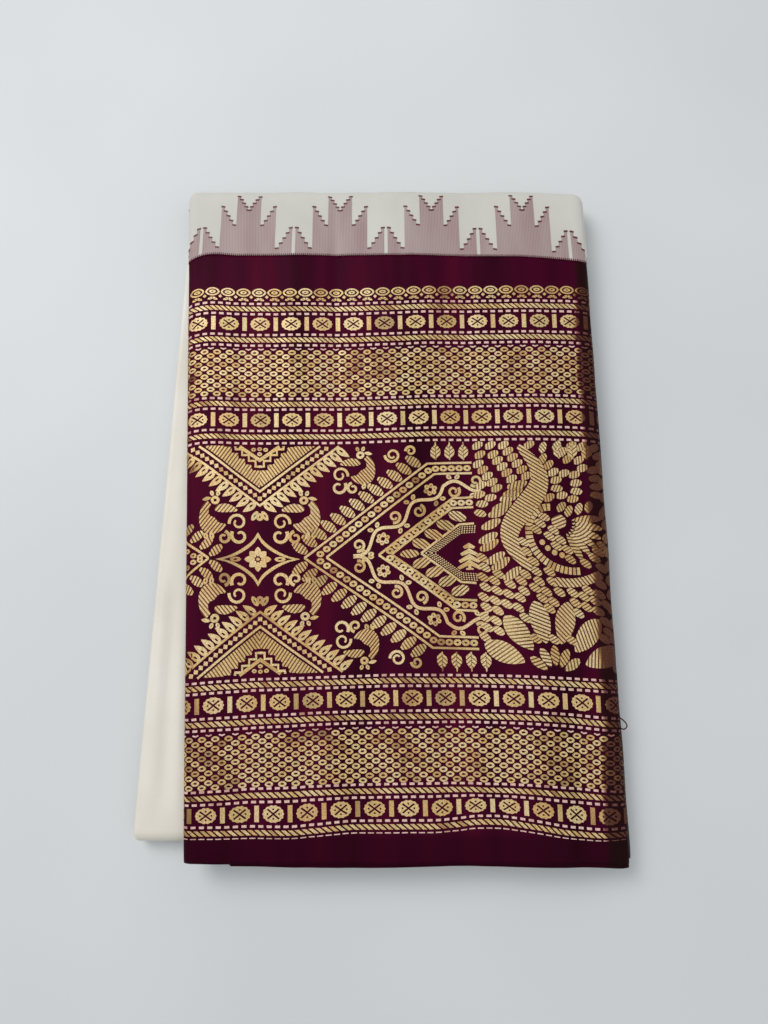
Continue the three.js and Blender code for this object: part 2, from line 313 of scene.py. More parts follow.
def makeMesh(name, points, faces, material, uv=None, tone=None, smoothShade=True):
    mesh = bpy.data.meshes.new(name)
    mesh.from_pydata((np.asarray(points) * mm).tolist(), [], faces)
    if uv is not None:
        layer = mesh.uv_layers.new(name="cloth")
        corners = np.empty(len(mesh.loops), dtype=np.int32)
        mesh.loops.foreach_get("vertex_index", corners)
        layer.data.foreach_set("uv", (np.asarray(uv)[corners] * mm).ravel())
    if tone is not None:
        tones = mesh.attributes.new("tone", "FLOAT", "POINT")
        tones.data.foreach_set("value", np.asarray(tone, dtype=np.float32))
    mesh.materials.append(material)
    mesh.polygons.foreach_set("use_smooth", [smoothShade] * len(mesh.polygons))
    mesh.update()
    piece = bpy.data.objects.new(name, mesh)
    scene.collection.objects.link(piece)
    return piece


def shellSheet(name, surface, across, along, thickness, material):
    # A closed thin shell of cloth: outer side, inner side and the cut edges between.
    u, t = np.meshgrid(across, along)
    outer = np.stack(surface(u, t), -1)
    normal = surfaceNormal(surface, u, t)
    inner = outer - normal * thickness
    rows, columns = u.shape
    count = rows * columns
    points = np.concatenate([outer.reshape(-1, 3), inner.reshape(-1, 3)])
    uv = np.concatenate([np.stack([u, t], -1).reshape(-1, 2)] * 2)
    index = np.arange(count).reshape(rows, columns)
    a, b, c, d = index[:-1, :-1], index[:-1, 1:], index[1:, 1:], index[1:, :-1]
    top = np.stack([a, b, c, d], -1).reshape(-1, 4)
    under = np.stack([d, c, b, a], -1).reshape(-1, 4) + count
    rim = np.concatenate([index[0, :], index[1:, -1], index[-1, -2::-1], index[-2:0:-1, 0]])
    after = np.roll(rim, -1)
    edge = np.stack([after, rim, rim + count, after + count], -1)
    faces = np.concatenate([top, under, edge]).tolist()
    return makeMesh(name, points, faces, material, uv)


def spread(low, high, step):
    return np.linspace(low, high, max(2, int(math.ceil((high - low) / step)) + 1))


def acrossPly(width, fine, coarse):
    # Closer columns over the rounded edges.
    right = width - 16
    return np.concatenate([spread(-8.0, 6.0, fine)[:-1], spread(6.0, right, coarse)[:-1],
                           spread(right, width + 4.0, fine)])


# Materials

def nodeMaterial(name, baseColor, roughness, metallic=0.0, sheen=0.0, specular=0.5):
    material = bpy.data.materials.new(name)
    material.use_nodes = True
    shader = material.node_tree.nodes["Principled BSDF"]
    for key, value in (("Base Color", (*baseColor, 1)), ("Roughness", roughness), ("Metallic", metallic),
                       ("Sheen Weight", sheen), ("Specular IOR Level", specular)):
        shader.inputs[key].default_value = value
    material.diffuse_color = (*baseColor, 1)
    return material, shader


def addNode(owner, kind, sources=None, **settings):
    # Adds a node to a material or a node tree. Its inputs are wired to other nodes, or set to values.
    tree = owner.node_tree if isinstance(owner, bpy.types.Material) else owner
    node = tree.nodes.new(kind)
    for key, value in settings.items():
        setattr(node, key, value)
    for key, source in (sources or {}).items():
        if isinstance(source, bpy.types.NodeSocket):
            tree.links.new(source, node.inputs[key])
        else:
            node.inputs[key].default_value = source
    return node


def link(material, source, target):
    material.node_tree.links.new(source, target)


def linear(r, g, b):
    return tuple(c / 12.92 if c <= 0.04045 else ((c + 0.055) / 1.055) ** 2.4 for c in (r, g, b))


def clothCoordinates(material, stretch):
    place = addNode(material, "ShaderNodeUVMap", uv_map="cloth").outputs["UV"]
    return addNode(material, "ShaderNodeMapping", {"Vector": place, "Scale": stretch}).outputs["Vector"]


def clothAxis(material, axis):
    # The place across the cloth (X) or along it (Y).
    place = addNode(material, "ShaderNodeUVMap", uv_map="cloth").outputs["UV"]
    return addNode(material, "ShaderNodeSeparateXYZ", {0: place}).outputs[axis]


def noiseAt(material, stretch, scale, detail=2.0, roughness=0.5):
    sources = {"Vector": clothCoordinates(material, stretch),
               "Scale": scale, "Detail": detail, "Roughness": roughness}
    return addNode(material, "ShaderNodeTexNoise", sources).outputs["Fac"]


def rampOf(material, value, stops):
    ramp = addNode(material, "ShaderNodeValToRGB", {"Fac": value})
    elements = ramp.color_ramp.elements
    while len(elements) < len(stops):
        elements.new(0.5)
    for element, (at, color) in zip(elements, stops):
        element.position = at
        element.color = (*color, 1)
    return ramp.outputs["Color"]


def mixColor(material, factor, a, b):
    sources = {0: factor, 6: a, 7: b}
    sources = {key: (*value, 1) if isinstance(value, tuple) else value for key, value in sources.items()}
    return addNode(material, "ShaderNodeMix", sources, data_type="RGBA").outputs[2]


def math2(owner, kind, a, b):
    return addNode(owner, "ShaderNodeMath", {0: a, 1: b}, operation=kind).outputs[0]


def threadWave(material, axis, perMm, shape):
    # One set of threads as a fine wave.
    sources = {"Vector": clothCoordinates(material, (1, 1, 1)), "Scale": perMm * 1000 / bandScale, **shape}
    return addNode(material, "ShaderNodeTexWave", sources, wave_type="BANDS", bands_direction=axis,
                   wave_profile="SIN").outputs["Fac"]


def threadHeight(material, perMmAcross, perMmAlong):
    # Warp and weft as two fine waves, crossed.
    shape = {"Distortion": 0.6, "Detail": 1.0, "Detail Scale": 2.0}
    return math2(material, "ADD", threadWave(material, "X", perMmAcross, shape),
                 threadWave(material, "Y", perMmAlong, shape))


def finishCloth(material, shader, color, threads, strength):
    # Colours the cloth, and raises its warp and weft.
    bump = addNode(material, "ShaderNodeBump", {"Height": threadHeight(material, *threads),
                                                "Strength": strength, "Distance": threadDepth * mm})
    link(material, color, shader.inputs["Base Color"])
    link(material, bump.outputs["Normal"], shader.inputs["Normal"])
    return material


silk = {
    "cream": linear(0.90, 0.885, 0.845),
    "creamShade": linear(0.855, 0.83, 0.775),
    "creamHead": linear(0.80, 0.795, 0.765),
    "creamHeadShade": linear(0.755, 0.745, 0.705),
    "maroon": linear(0.250, 0.012, 0.125),
    "maroonDeep": linear(0.150, 0.008, 0.068),
    "maroonWarm": linear(0.320, 0.028, 0.135),
    "goldPale": linear(0.955, 0.86, 0.655),
    "gold": linear(0.865, 0.725, 0.465),
    "goldDark": linear(0.44, 0.28, 0.14),
    # the darkest thread: the dull ground between bars, and the painted shade where the cloth rolls over the
    # right edge
    "dullAndShade": linear(0.27, 0.10, 0.09),
    "goldRed": linear(0.84, 0.58, 0.42),
    "goldGreen": linear(0.70, 0.70, 0.48),
    "dash": linear(0.94, 0.805, 0.755),
    "dashDark": linear(0.62, 0.40, 0.37),
    "temple": linear(0.645, 0.58, 0.565),
    "templeDeep": linear(0.56, 0.43, 0.44),
    "step": linear(0.36, 0.13, 0.12),
    # painted shade: the dark brown of the cloth where it rolls over the right edge, away from the light
    "rollShade": linear(0.115, 0.045, 0.04),
    "edge": linear(0.27, 0.155, 0.09),
    "edgeGold": linear(0.50, 0.37, 0.22),
}


def creamSilk(name, color, shadeColor):
    material, shader = nodeMaterial(name, color, 0.6, sheen=0.12, specular=0.25)
    patches = noiseAt(material, (1, 1, 1), 14, 3)
    slubs = noiseAt(material, (0.12, 3.0, 1), 420)
    mixed = rampOf(material, patches, [(0.30, shadeColor), (0.62, color)])
    mixed = mixColor(material, math2(material, "MULTIPLY", slubs, 0.22), mixed, shadeColor)
    return finishCloth(material, shader, mixed, (2.4, 2.8), 0.35)


def clothRamp(material, axis, low, high, most):
    # Rises from 0 to most between two places across the cloth (X) or along it (Y).
    sources = {"Value": clothAxis(material, axis),
               "From Min": low * mm, "From Max": high * mm, "To Max": most}
    ramp = addNode(material, "ShaderNodeMapRange", sources, interpolation_type="SMOOTHSTEP")
    return ramp.outputs["Result"]


def maroonSilk():
    material, shader = nodeMaterial("maroonSilk", silk["maroon"], 0.5, specular=0.03)
    bands = noiseAt(material, (1, 0.12, 1), 34)
    fine = noiseAt(material, (1, 0.02, 1), 900)
    color = rampOf(material, bands, [(0.30, silk["maroonDeep"]), (0.52, silk["maroon"]),
                                     (0.74, silk["maroonWarm"])])
    color = mixColor(material, math2(material, "MULTIPLY", fine, 0.34), color, silk["maroonDeep"])
    color = mixColor(material, clothRamp(material, "Y", -342.0, -349.0, 0.62), color, silk["maroonDeep"])
    # painted shade: darker across the roll at the right edge
    color = mixColor(material, clothRamp(material, "X", 239.0, 244.5, 0.9), color, silk["rollShade"])
    return finishCloth(material, shader, color, (2.0, 2.6), 0.4)


def zariThread(name, colors, roughness, metallic):
    # Metal thread: each motif has its own tone, and patches of the cloth catch more or less light.
    # The tone falls below zero in the dark gaps between bars, as painted shade along the rolled right edge,
    # and near the left edge.
    material, shader = nodeMaterial(name, colors[1], roughness, metallic=metallic, specular=0.3)
    tone = addNode(material, "ShaderNodeAttribute", attribute_name="tone").outputs["Fac"]
    patches = noiseAt(material, (1, 0.55, 1), 30, roughness=0.55)
    grain = noiseAt(material, (1, 1.7, 1), 1100)
    level = math2(material, "ADD", math2(material, "MULTIPLY", tone, 0.34),
                  math2(material, "MULTIPLY", patches, 0.95))
    level = math2(material, "SUBTRACT", level, 0.20)
    color = rampOf(material, level, [(0.0, silk["dullAndShade"]), (0.12, colors[2]),
                                     (0.36, colors[1]), (0.62, colors[0])])
    # 1 where the tone is above zero; only there does the thread take a tint.
    dullAndShade = math2(material, "GREATER_THAN", tone, 0.0)
    hue = math2(material, "FRACT", math2(material, "MULTIPLY", tone, 7.31), 0.0)
    tint = rampOf(material, hue, [(0.0, silk["goldRed"]), (0.30, colors[1]),
                                  (0.74, colors[0]), (1.0, silk["goldGreen"])])
    color = mixColor(material, math2(material, "MULTIPLY", dullAndShade, 0.24), color, tint)
    speck = rampOf(material, grain, [(0.38, (0, 0, 0)), (0.60, (1, 1, 1))])
    dark = mixColor(material, 0.55, color, colors[2])
    color = mixColor(material, speck, dark, color)
    return finishCloth(material, shader, color, (1.6, 3.4), 0.5)


def templeThread():
    # Maroon and cream threads side by side read as a mauve tint.
    material, shader = nodeMaterial("templeThread", silk["temple"], 0.55, sheen=0.15)
    wave = threadWave(material, "X", 1.05, {"Distortion": 0.5})
    patches = noiseAt(material, (1, 0.3, 1), 60)
    level = math2(material, "ADD", math2(material, "MULTIPLY", wave, 0.42),
                  math2(material, "MULTIPLY", patches, 0.9))
    color = rampOf(material, level, [(0.30, silk["templeDeep"]), (0.85, silk["temple"])])
    return finishCloth(material, shader, color, (2.0, 2.6), 0.4)


def stepThread():
    material, shader = nodeMaterial("stepThread", silk["step"], 0.5)
    color = rampOf(material, noiseAt(material, (1, 1, 1), 700),
                   [(0.3, silk["step"]), (0.7, silk["maroonWarm"])])
    link(material, color, shader.inputs["Base Color"])
    return material


creamMaterial = creamSilk("creamSilk", silk["cream"], silk["creamShade"])
headMaterial = creamSilk("creamHead", silk["creamHead"], silk["creamHeadShade"])
maroonMaterial = maroonSilk()
goldMaterial = zariThread("zariGold", (silk["goldPale"], silk["gold"], silk["goldDark"]), 0.45, 0.3)
dashMaterial = zariThread("zariDash", (silk["dash"], silk["dash"], silk["dashDark"]), 0.5, 0.15)
templeMaterial = templeThread()
stepMaterial = stepThread()
print("materials made")


# Camera, light and floor

view = {
    "place": (1.75, -61.8, 478.4),
    "tilt": 7.5,
    "lens": 27.04,
    "sensor": 36.0,
}


def makeCamera():
    data = bpy.data.cameras.new("camera")
    data.sensor_width = view["sensor"]
    data.lens = view["lens"]
    camera = bpy.data.objects.new("camera", data)
    camera.location = [v * mm for v in view["place"]]
    camera.rotation_euler = (math.radians(view["tilt"]), 0, 0)
    scene.collection.objects.link(camera)
    scene.camera = camera


lights = {
    "world": (0.92, 0.935, 0.965),
    "worldStrength": 0.53,
    "window": {"place": (-750, 720, 1250), "size": 800, "power": 13.5},
    "fill": {"place": (450, -300, 1500), "size": 1500, "power": 4.0},
}


def areaLight(name, place, size, power):
    data = bpy.data.lights.new(name, "AREA")
    data.size = size * mm
    data.energy = power
    lamp = bpy.data.objects.new(name, data)
    lamp.location = [v * mm for v in place]
    direction = -np.array(place, dtype=float)
    lamp.rotation_euler = (math.atan2(math.hypot(direction[0], direction[1]), -direction[2]), 0,
                           math.atan2(direction[1], direction[0]) - math.pi / 2)
    scene.collection.objects.link(lamp)


def makeLights():
    world = bpy.data.worlds.new("studio")
    world.use_nodes = True
    background = world.node_tree.nodes["Background"]
    background.inputs["Color"].default_value = (*lights["world"], 1)
    background.inputs["Strength"].default_value = lights["worldStrength"]
    scene.world = world
    areaLight("window", **lights["window"])
    areaLight("fill", **lights["fill"])


ground = {
    "color": linear(0.83, 0.842, 0.845),
    "grain": [(0.3, linear(0.815, 0.828, 0.832)), (0.7, linear(0.845, 0.856, 0.858))],
    "grainScale": 4.0,
    "reach": 2500.0,
}


def makeFloor():
    material, shader = nodeMaterial("paleFloor", ground["color"], 0.9, specular=0.1)
    place = addNode(material, "ShaderNodeTexCoord").outputs["Object"]
    grain = addNode(material, "ShaderNodeTexNoise", {"Vector": place, "Scale": ground["grainScale"]})
    link(material, rampOf(material, grain.outputs["Fac"], ground["grain"]), shader.inputs["Base Color"])
    reach = ground["reach"]
    points = [(-reach, -reach, 0), (reach, -reach, 0), (reach, reach, 0), (-reach, reach, 0)]
    floor = makeMesh("floor", points, [(0, 1, 2, 3)], material, smoothShade=False)


makeCamera()
makeLights()
makeFloor()
scene.view_settings.view_transform = "Standard"
print("camera and light set")


# The plies that show

plies = {
    "frontWidth": 250.5,
    "headWidth": 249.5,
    "fine": 0.7,
    "coarse": 2.2,
    "along": 2.2,
    "secondLeft": 22.1,
    "secondDown": 2.0,
    "secondShows": 27.0,
    "secondGap": 0.85,
}


def clothSurface(u, t):
    # The rows' wander moves the join itself, and fades out away from it.
    near = (1 - smooth(t, 0, 30)) * smooth(t, -24, 0)
    return frontSurface(u, t + waveAt(u, 0.0 * t) * near)


def borderFront():
    along = spread(hemT, 0.0, plies["along"])
    piece = shellSheet("border_front_cloth", clothSurface,
                       acrossPly(plies["frontWidth"], plies["fine"], plies["coarse"]), along,
                       bundle["plyEdge"], maroonMaterial)
    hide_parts("border_front")
    return piece


def secondSurface(u, t):
    # The next ply, just under the front one and a little longer.
    drop = bundle["plyEdge"] + plies["secondGap"]
    x, y, z = frontSurface(u, t)
    under = 0.4 * swellAt(u, t) + 0.55 * creaseAt(u, t)
    hemWander = (0.5 * np.sin(u * 0.045 + 0.7)
                 + 2.6 * (1 - smooth(u, plies["secondShows"] - 1, plies["secondShows"])))
    hemWander = hemWander * (1 - smooth(t, hemT - 2, hemT + 14))
    edge = smooth(u, 236, 250) * (0.55 + 0.3 * np.sin(t * 0.04))
    return x + edge, y + hemWander, z - drop - under


def borderSecond():
    across = np.concatenate([spread(plies["secondLeft"], 236, 2.6)[:-1], spread(236, 254, 0.8)])
    piece = shellSheet("border_second_cloth", secondSurface, across,
                       spread(hemT - plies["secondDown"], -0.5, 3.0), bundle["plyEdge"], maroonMaterial)
    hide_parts("border_second")
    return piece


def templeFold():
    reach = noseY - joinY + math.pi * noseRadius + 15
    along = np.concatenate([spread(0.0, noseY - joinY, 2.0)[:-1], spread(noseY - joinY, reach - 14, 1.2)[:-1],
                            spread(reach - 14, reach, 4.0)])
    piece = shellSheet("temple_fold_cloth", clothSurface,
                       acrossPly(plies["headWidth"], plies["fine"], plies["coarse"]), along,
                       bundle["plyEdge"], headMaterial)
    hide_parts("temple_fold")
    return piece


def backCloth():
    start = -(178 - foldY)
    after = math.pi * foldRadius
    end = after + (noseY - 3 - foldY)
    along = np.concatenate([spread(start, 0, 4.0)[:-1], spread(0, after, 0.8)[:-1],
                            spread(after, after + 180, 2.2)[:-1], spread(after + 180, end, 5.0)])
    piece = shellSheet("back_cloth", backSurface,
                       acrossPly(bundle["panel"] - bundle["bodyLayersOut"], plies["fine"], 2.8),
                       along, bundle["plyEdge"], creamMaterial)
    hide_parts("underside_body", "tucked_body")
    return piece


# The hidden plies, layered at their edges

borderPlies = {
    "stack": 5.6,
    "base": 15.0,
    "rows": [  # right: from the edge, hem: back from the hem, wander: how uneven the edge is
        {"right": -0.2, "hem": 1.9, "wander": 0.5},
        {"right": -1.0, "hem": 1.2, "wander": 0.6},
        {"right": -0.3, "hem": 2.2, "wander": 0.4},
        {"right": -1.8, "hem": 1.4, "wander": 0.5},
        {"right": -20.5, "hem": 2.3, "wander": 0.4},
        {"right": -20.0, "hem": 1.4, "wander": 0.4},
    ],
}
bodyPlies = {
    "stack": 5.4,
    "rows": [
        {"right": -0.8, "hem": 0.9, "wander": 0.6},
        {"right": 0.0, "hem": 0.1, "wander": 0.5},
        {"right": -17.4, "hem": 1.5, "wander": 0.5},
        {"right": -18.6, "hem": 0.6, "wander": 0.5},
        {"right": -18.0, "hem": 1.1, "wander": 0.5},
    ],
}


def plyFold(right, left, low, high):
    # One folded ply end on: a flat plate whose right end is round.
    radius = (high - low) / 2
    flat = [left, mix(left, right, 0.3), mix(left, right, 0.55), mix(left, right, 0.75),
            mix(left, right, 0.9), right - 4]
    bottom = [(x, low) for x in flat]
    bend = [(right - radius + radius * math.sin(a), (low + high) / 2 - radius * math.cos(a))
            for a in np.linspace(0, math.pi, 9)]
    top = [(x, high) for x in reversed(flat)]
    return np.array(bottom + bend + top)


def layeredPlies(name, table, stations, node, material):
    # stations: (along, left, right, place) with place(x, n, row) giving points in space
    points, faces, uv = [], [], []
    thick = table["stack"] / len(table["rows"])
    below, above = bundle["layersGap"]
    for k, row in enumerate(table["rows"]):
        rings = []
        for along, left, right, place in stations:
            wander = row["wander"] * (math.sin(along * 0.11 + 2.1 * k) * 0.5
                                      + math.sin(along * 0.045 + k) * 0.5)
            edge = right + row["right"] + wander
            ring = plyFold(edge, left, k * thick + below, (k + 1) * thick - above)
            spots = place(ring[:, 0], ring[:, 1], row)
            rings.append(len(points))
            points.extend(spots)
            uv.extend([(x, along) for x in ring[:, 0]])
        count = len(ring)
        for a, b in zip(rings, rings[1:]):
            for i in range(count):
                j = (i + 1) % count
                faces.append((a + i, b + i, b + j, a + j))
        faces.append(tuple(rings[0] + i for i in range(count)))
        faces.append(tuple(rings[-1] + i for i in reversed(range(count))))
    piece = makeMesh(name, points, faces, material, uv)
    flipIfInside(piece)
    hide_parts(node)
    return piece


def flipIfInside(piece):
    mesh = piece.data
    mesh.calc_loop_triangles()
    spots = np.empty(len(mesh.vertices) * 3)
    mesh.vertices.foreach_get("co", spots)
    corners = np.empty(len(mesh.loop_triangles) * 3, dtype=np.int32)
    mesh.loop_triangles.foreach_get("vertices", corners)
    a, b, c = spots.reshape(-1, 3)[corners.reshape(-1, 3)].transpose(1, 0, 2)
    if np.einsum("ij,ij->i", a, np.cross(b, c)).sum() < 0:
        mesh.flip_normals()


def borderLayers():
    stations = []
    for y in np.concatenate([spread(bundle["hemY"], bundle["bottomY"] + 1, 2.0)[:-1],
                             spread(bundle["bottomY"] + 1, joinY - 0.2, 5.0)]):
        pastFold = max(0.0, (bundle["bottomY"] - y) / (bundle["bottomY"] - bundle["hemY"]))

        def place(x, n, row, y=y, pastFold=pastFold):
            hang = overhang(x, y)
            droop = bundle["overhangDroop"] * hang ** 2
            z = borderPlies["base"] + n - droop - bundle["hemDroop"] * min(pastFold, 1) ** 2
            spotY = y - bundle["hemRunOut"] * pastFold * hang ** 2 + row["hem"] * min(pastFold, 1)
            return np.stack([x, spotY, z], -1).tolist()

        stations.append((y, frontLeft(y) + bundle["layersInset"], frontRight(y), place))
    return layeredPlies("border_layers_cloth", borderPlies, stations, "border_layers",
                        edgeMaterial)


def bodyLayers():
    inner = noseRadius - bundle["bodyStack"]
    foldInner = foldRadius - bundle["bodyStack"]
    path = []
    for y in spread(joinY + 0.4, noseY, 5.0)[:-1]:
        path.append((y, 0.0, "front"))
    for a in np.linspace(0, math.pi, 14)[:-1]:
        path.append((noseY, a, "nose"))
    for y in spread(foldY, noseY, 6.0)[::-1][:-1]:
        path.append((y, 0.0, "back"))
    for a in np.linspace(0, math.pi, 9)[:-1]:
        path.append((foldY, a, "fold"))
    for y in spread(foldY, noseY - 3, 6.0):
        path.append((y, 0.0, "tucked"))
    stations = []
    travelled = 0.0
    for y, a, kind in path:
        travelled += 5.0

        def place(x, n, row, y=y, a=a, kind=kind):
            if kind in ("front", "nose"):
                spotY, z = y + (inner + n) * math.sin(a), noseRadius + (inner + n) * math.cos(a)
            elif kind in ("back", "fold"):
                spotY, z = y - (foldInner + n) * math.sin(a), foldRadius - (foldInner + n) * math.cos(a)
            else:
                spotY, z = y + 0 * n, foldRadius + foldInner + n
            return np.stack([x, spotY + 0 * x, z + 0 * x], -1).tolist()

        turned = a / math.pi if kind == "nose" else (0.0 if kind == "front" else 1.0)
        left = mix(frontLeft(y), backLeft(y), turned) + bundle["layersInset"]
        right = mix(frontRight(y), backRight(y), turned)
        stations.append((travelled, left, right, place))
    return layeredPlies("body_layers_cloth", bodyPlies, stations, "body_layers",
                        creamMaterial)


# Weaving flat motifs

slab = {"step": 2.4, "height": 0.16, "sunk": -0.05}      # longest cell, and its faces above the cloth


def cellsOf(shape, step):
    # A shape is (left points, right points, closed), or has its tone fourth. Long spans are cut short.
    left, right, closed = np.asarray(shape[0], float), np.asarray(shape[1], float), shape[2]
    newLeft, newRight = [], []
    count = len(left)
    for i in range(count if closed else count - 1):
        j = (i + 1) % count
        span = max(np.linalg.norm(left[j] - left[i]), np.linalg.norm(right[j] - right[i]))
        pieces = max(1, int(math.ceil(span / step)))
        for k in range(pieces):
            newLeft.append(mix(left[i], left[j], k / pieces))
            newRight.append(mix(right[i], right[j], k / pieces))
    if not closed:
        newLeft.append(left[-1])
        newRight.append(right[-1])
    return np.array(newLeft), np.array(newRight), closed


def flatMesh(shapes, step=slab["step"]):
    # Turns shapes into thin closed slabs lying flat: points (u, t, height), faces, and each shape's number.
    points, faces, owner = [], [], []
    base = 0
    for number, shape in enumerate(shapes):
        left, right, closed = cellsOf(shape, step)
        count = len(left)
        across = right - left
        along = np.roll(left, -1, axis=0) - left
        turn = (across[:, 0] * along[:, 1]
                - across[:, 1] * along[:, 0])[:count if closed else count - 1].sum()
        if turn < 0:
            left, right = right, left
        ring = np.zeros((count, 4, 3))
        ring[:, 0, :2], ring[:, 1, :2], ring[:, 2, :2], ring[:, 3, :2] = left, right, right, left
        ring[:, 0:2, 2] = slab["height"]
        points.append(ring.reshape(-1, 3))
        owner.append(np.full(count * 4, number))
        index = base + np.arange(count * 4).reshape(count, 4)
        after = np.roll(index, -1, axis=0)
        if not closed:
            first, last = index[0], index[-1]
            index, after = index[:-1], after[:-1]
            faces.append(np.array([[first[3], first[2], first[1], first[0]],
                                   [last[0], last[1], last[2], last[3]]]))
        for i in range(4):
            j = (i + 1) % 4
            faces.append(np.stack([index[:, i], index[:, j], after[:, j], after[:, i]], -1))
        base += count * 4
    return np.concatenate(points), np.concatenate(faces), np.concatenate(owner)


def bar(a, b, width):
    a, b = np.array(a, float), np.array(b, float)
    side = np.array([-(b - a)[1], (b - a)[0]]) / (np.linalg.norm(b - a) + 1e-9) * width / 2
    return ([a + side, b + side], [a - side, b - side], False)


def ribbon(path, width):
    path = np.asarray(path, float)
    width = np.broadcast_to(np.asarray(width, float), (len(path),))[:, None]
    direction = np.gradient(path, axis=0)
    direction /= np.linalg.norm(direction, axis=1, keepdims=True) + 1e-9
    side = np.stack([-direction[:, 1], direction[:, 0]], -1) * width / 2
    return (path + side, path - side, False)


def ellipse(center, rx, ry, steps, start=0.0):
    a = np.linspace(0, 2 * math.pi, steps, endpoint=False) + start
    return np.stack([center[0] + rx * np.cos(a), center[1] + ry * np.sin(a)], -1)


def ring(center, rx, ry, hole, steps):
    return (ellipse(center, rx, ry, steps), ellipse(center, rx * hole[0], ry * hole[1], steps), True)


def disc(center, rx, ry, steps):
    spots = ellipse(center, rx, ry, steps, math.pi / steps)
    half = steps // 2
    return (spots[:half], spots[half:][::-1], False)


def blockShape(low, high):
    return ([(low[0], low[1]), (high[0], low[1])], [(low[0], high[1]), (high[0], high[1])], False)


def hatched(outline, angle, pitch, fill, phase=0.0):
    # Bars of thread across an outline, ended where they meet it.
    outline = np.asarray(outline, float)
    along = np.array([math.cos(angle), math.sin(angle)])
    across = np.array([-along[1], along[0]])
    a = np.stack([outline @ along, outline @ across], -1)
    b = np.roll(a, -1, axis=0)
    shapes = []
    low, high = a[:, 1].min(), a[:, 1].max()

    def crossings(level):
        hit = (a[:, 1] - level) * (b[:, 1] - level) < 0
        s = (level - a[hit, 1]) / (b[hit, 1] - a[hit, 1])
        return np.sort(a[hit, 0] + s * (b[hit, 0] - a[hit, 0]))

    level = low + pitch * (0.5 + phase)
    while level < high:
        middle = crossings(level)
        lower, upper = crossings(level - pitch * fill / 2), crossings(level + pitch * fill / 2)
        if len(lower) != len(middle):
            lower = middle
        if len(upper) != len(middle):
            upper = middle
        for k in range(0, len(middle) - 1, 2):
            if middle[k + 1] - middle[k] < 0.35:
                continue
            ends = []
            for row, level2 in ((lower, level - pitch * fill / 2), (upper, level + pitch * fill / 2)):
                ends.append([along * row[k] + across * level2, along * row[k + 1] + across * level2])
            shapes.append((ends[0], ends[1], False))
        level += pitch
    return shapes


def leaf(base, tip, width, bend, belly, steps, blunt=0.8):
    # Outline of a leaf or petal from its base to its tip. A lower blunt makes its ends rounder.
    base, tip = np.array(base, float), np.array(tip, float)
    along = tip - base
    side = np.array([-along[1], along[0]]) / (np.linalg.norm(along) + 1e-9)
    s = 0.5 - 0.5 * np.cos(np.linspace(0, math.pi, steps))
    middle = base + s[:, None] * along + (4 * s * (1 - s))[:, None] * side * bend
    power = math.log(0.5) / math.log(belly)
    half = (np.abs(np.sin(math.pi * s ** power)) ** blunt)[:, None] * side * width / 2
    return np.concatenate([middle + half, (middle - half)[-2:0:-1]])


def curl(center, radius, start, turns, width):
    # A spiral ribbon that tightens inwards.
    shrink = 0.3
    s = np.linspace(0, 1, 20)
    a = start + s * turns * 2 * math.pi
    r = radius * (1 - s * (1 - shrink))
    path = np.stack([center[0] + r * np.cos(a), center[1] + r * np.sin(a)], -1)
    return ribbon(path, width * (1 - 0.35 * s))


def bent(points, steps):
    # A smooth path through a few points.
    points = np.asarray(points, float)
    padded = np.concatenate([[2 * points[0] - points[1]], points, [2 * points[-1] - points[-2]]])
    path = []
    for i in range(1, len(padded) - 2):
        p0, p1, p2, p3 = padded[i - 1:i + 3]
        for s in np.linspace(0, 1, steps, endpoint=False):
            path.append(0.5 * (2 * p1 + (p2 - p0) * s + (2 * p0 - 5 * p1 + 4 * p2 - p3) * s * s
                               + (3 * p1 - p0 - 3 * p2 + p3) * s ** 3))
    path.append(points[-1])
    return np.array(path)


def winding(middle, radii, angles, steps=28):
    a, r = np.radians(np.linspace(*angles, steps)), np.linspace(*radii, steps)
    return np.stack([middle[0] + r * np.cos(a), middle[1] + r * np.sin(a)], -1)


def moved(shapes, by=(0, 0), flipU=False, flipT=False, scale=1.0):
    flip = np.array([-scale if flipU else scale, -scale if flipT else scale])
    return [(*(np.array(side, float) * flip + by for side in shape[:2]), *shape[2:]) for shape in shapes]


woven = []
# Painted shade lowers the zari's tone where the cloth rolls over the right edge, and a little less on the
# roll's outer part, which is painted as catching light. The tone also drops near the left edge.
edgeDarkening = {  # where the zari is darker, across the cloth
    "from": 238.0, "to": 243.5, "back": (249.0, 252.0), "backShare": 0.10, "depth": 1.7,
    "left": (1, 11), "leftShare": 0.22,
}


def layOnCloth(name, flat, faces, tone, material, lift=0.02):
    # Lays a flat mesh on the folded cloth. Its height stands out from the cloth's own face.
    u, t, height = flat[:, 0], flat[:, 1], flat[:, 2]
    spots = np.stack(wovenSurface(u, t), -1)
    normal = surfaceNormal(wovenSurface, u, t)
    # painted shade on the right roll, and a darker left edge, lower each place's tone
    dullAndShade = smooth(u, edgeDarkening["from"], edgeDarkening["to"]) - edgeDarkening["backShare"] * smooth(u, *edgeDarkening["back"])
    dullAndShade = dullAndShade + edgeDarkening["leftShare"] * (1 - smooth(u, *edgeDarkening["left"]))
    tone = tone - edgeDarkening["depth"] * dullAndShade
    sunk = np.where(height > 0, height, slab["sunk"])
    points = spots + normal * (sunk + lift)[:, None]
    piece = makeMesh(name, points, faces.tolist(), material, np.stack([u, t], -1), tone, smoothShade=False)
    woven.append(piece)


def weave(name, shapes, material, seed):
    # A shape may bring its own tone. The others take one at random.
    flat, faces, owner = flatMesh(shapes)
    tones = np.random.default_rng(seed).random(len(shapes))
    for number, shape in enumerate(shapes):
        if len(shape) > 3:
            tones[number] = shape[3]
    layOnCloth(name, flat, faces, tones[owner], material)


# Repeats by Geometry Nodes

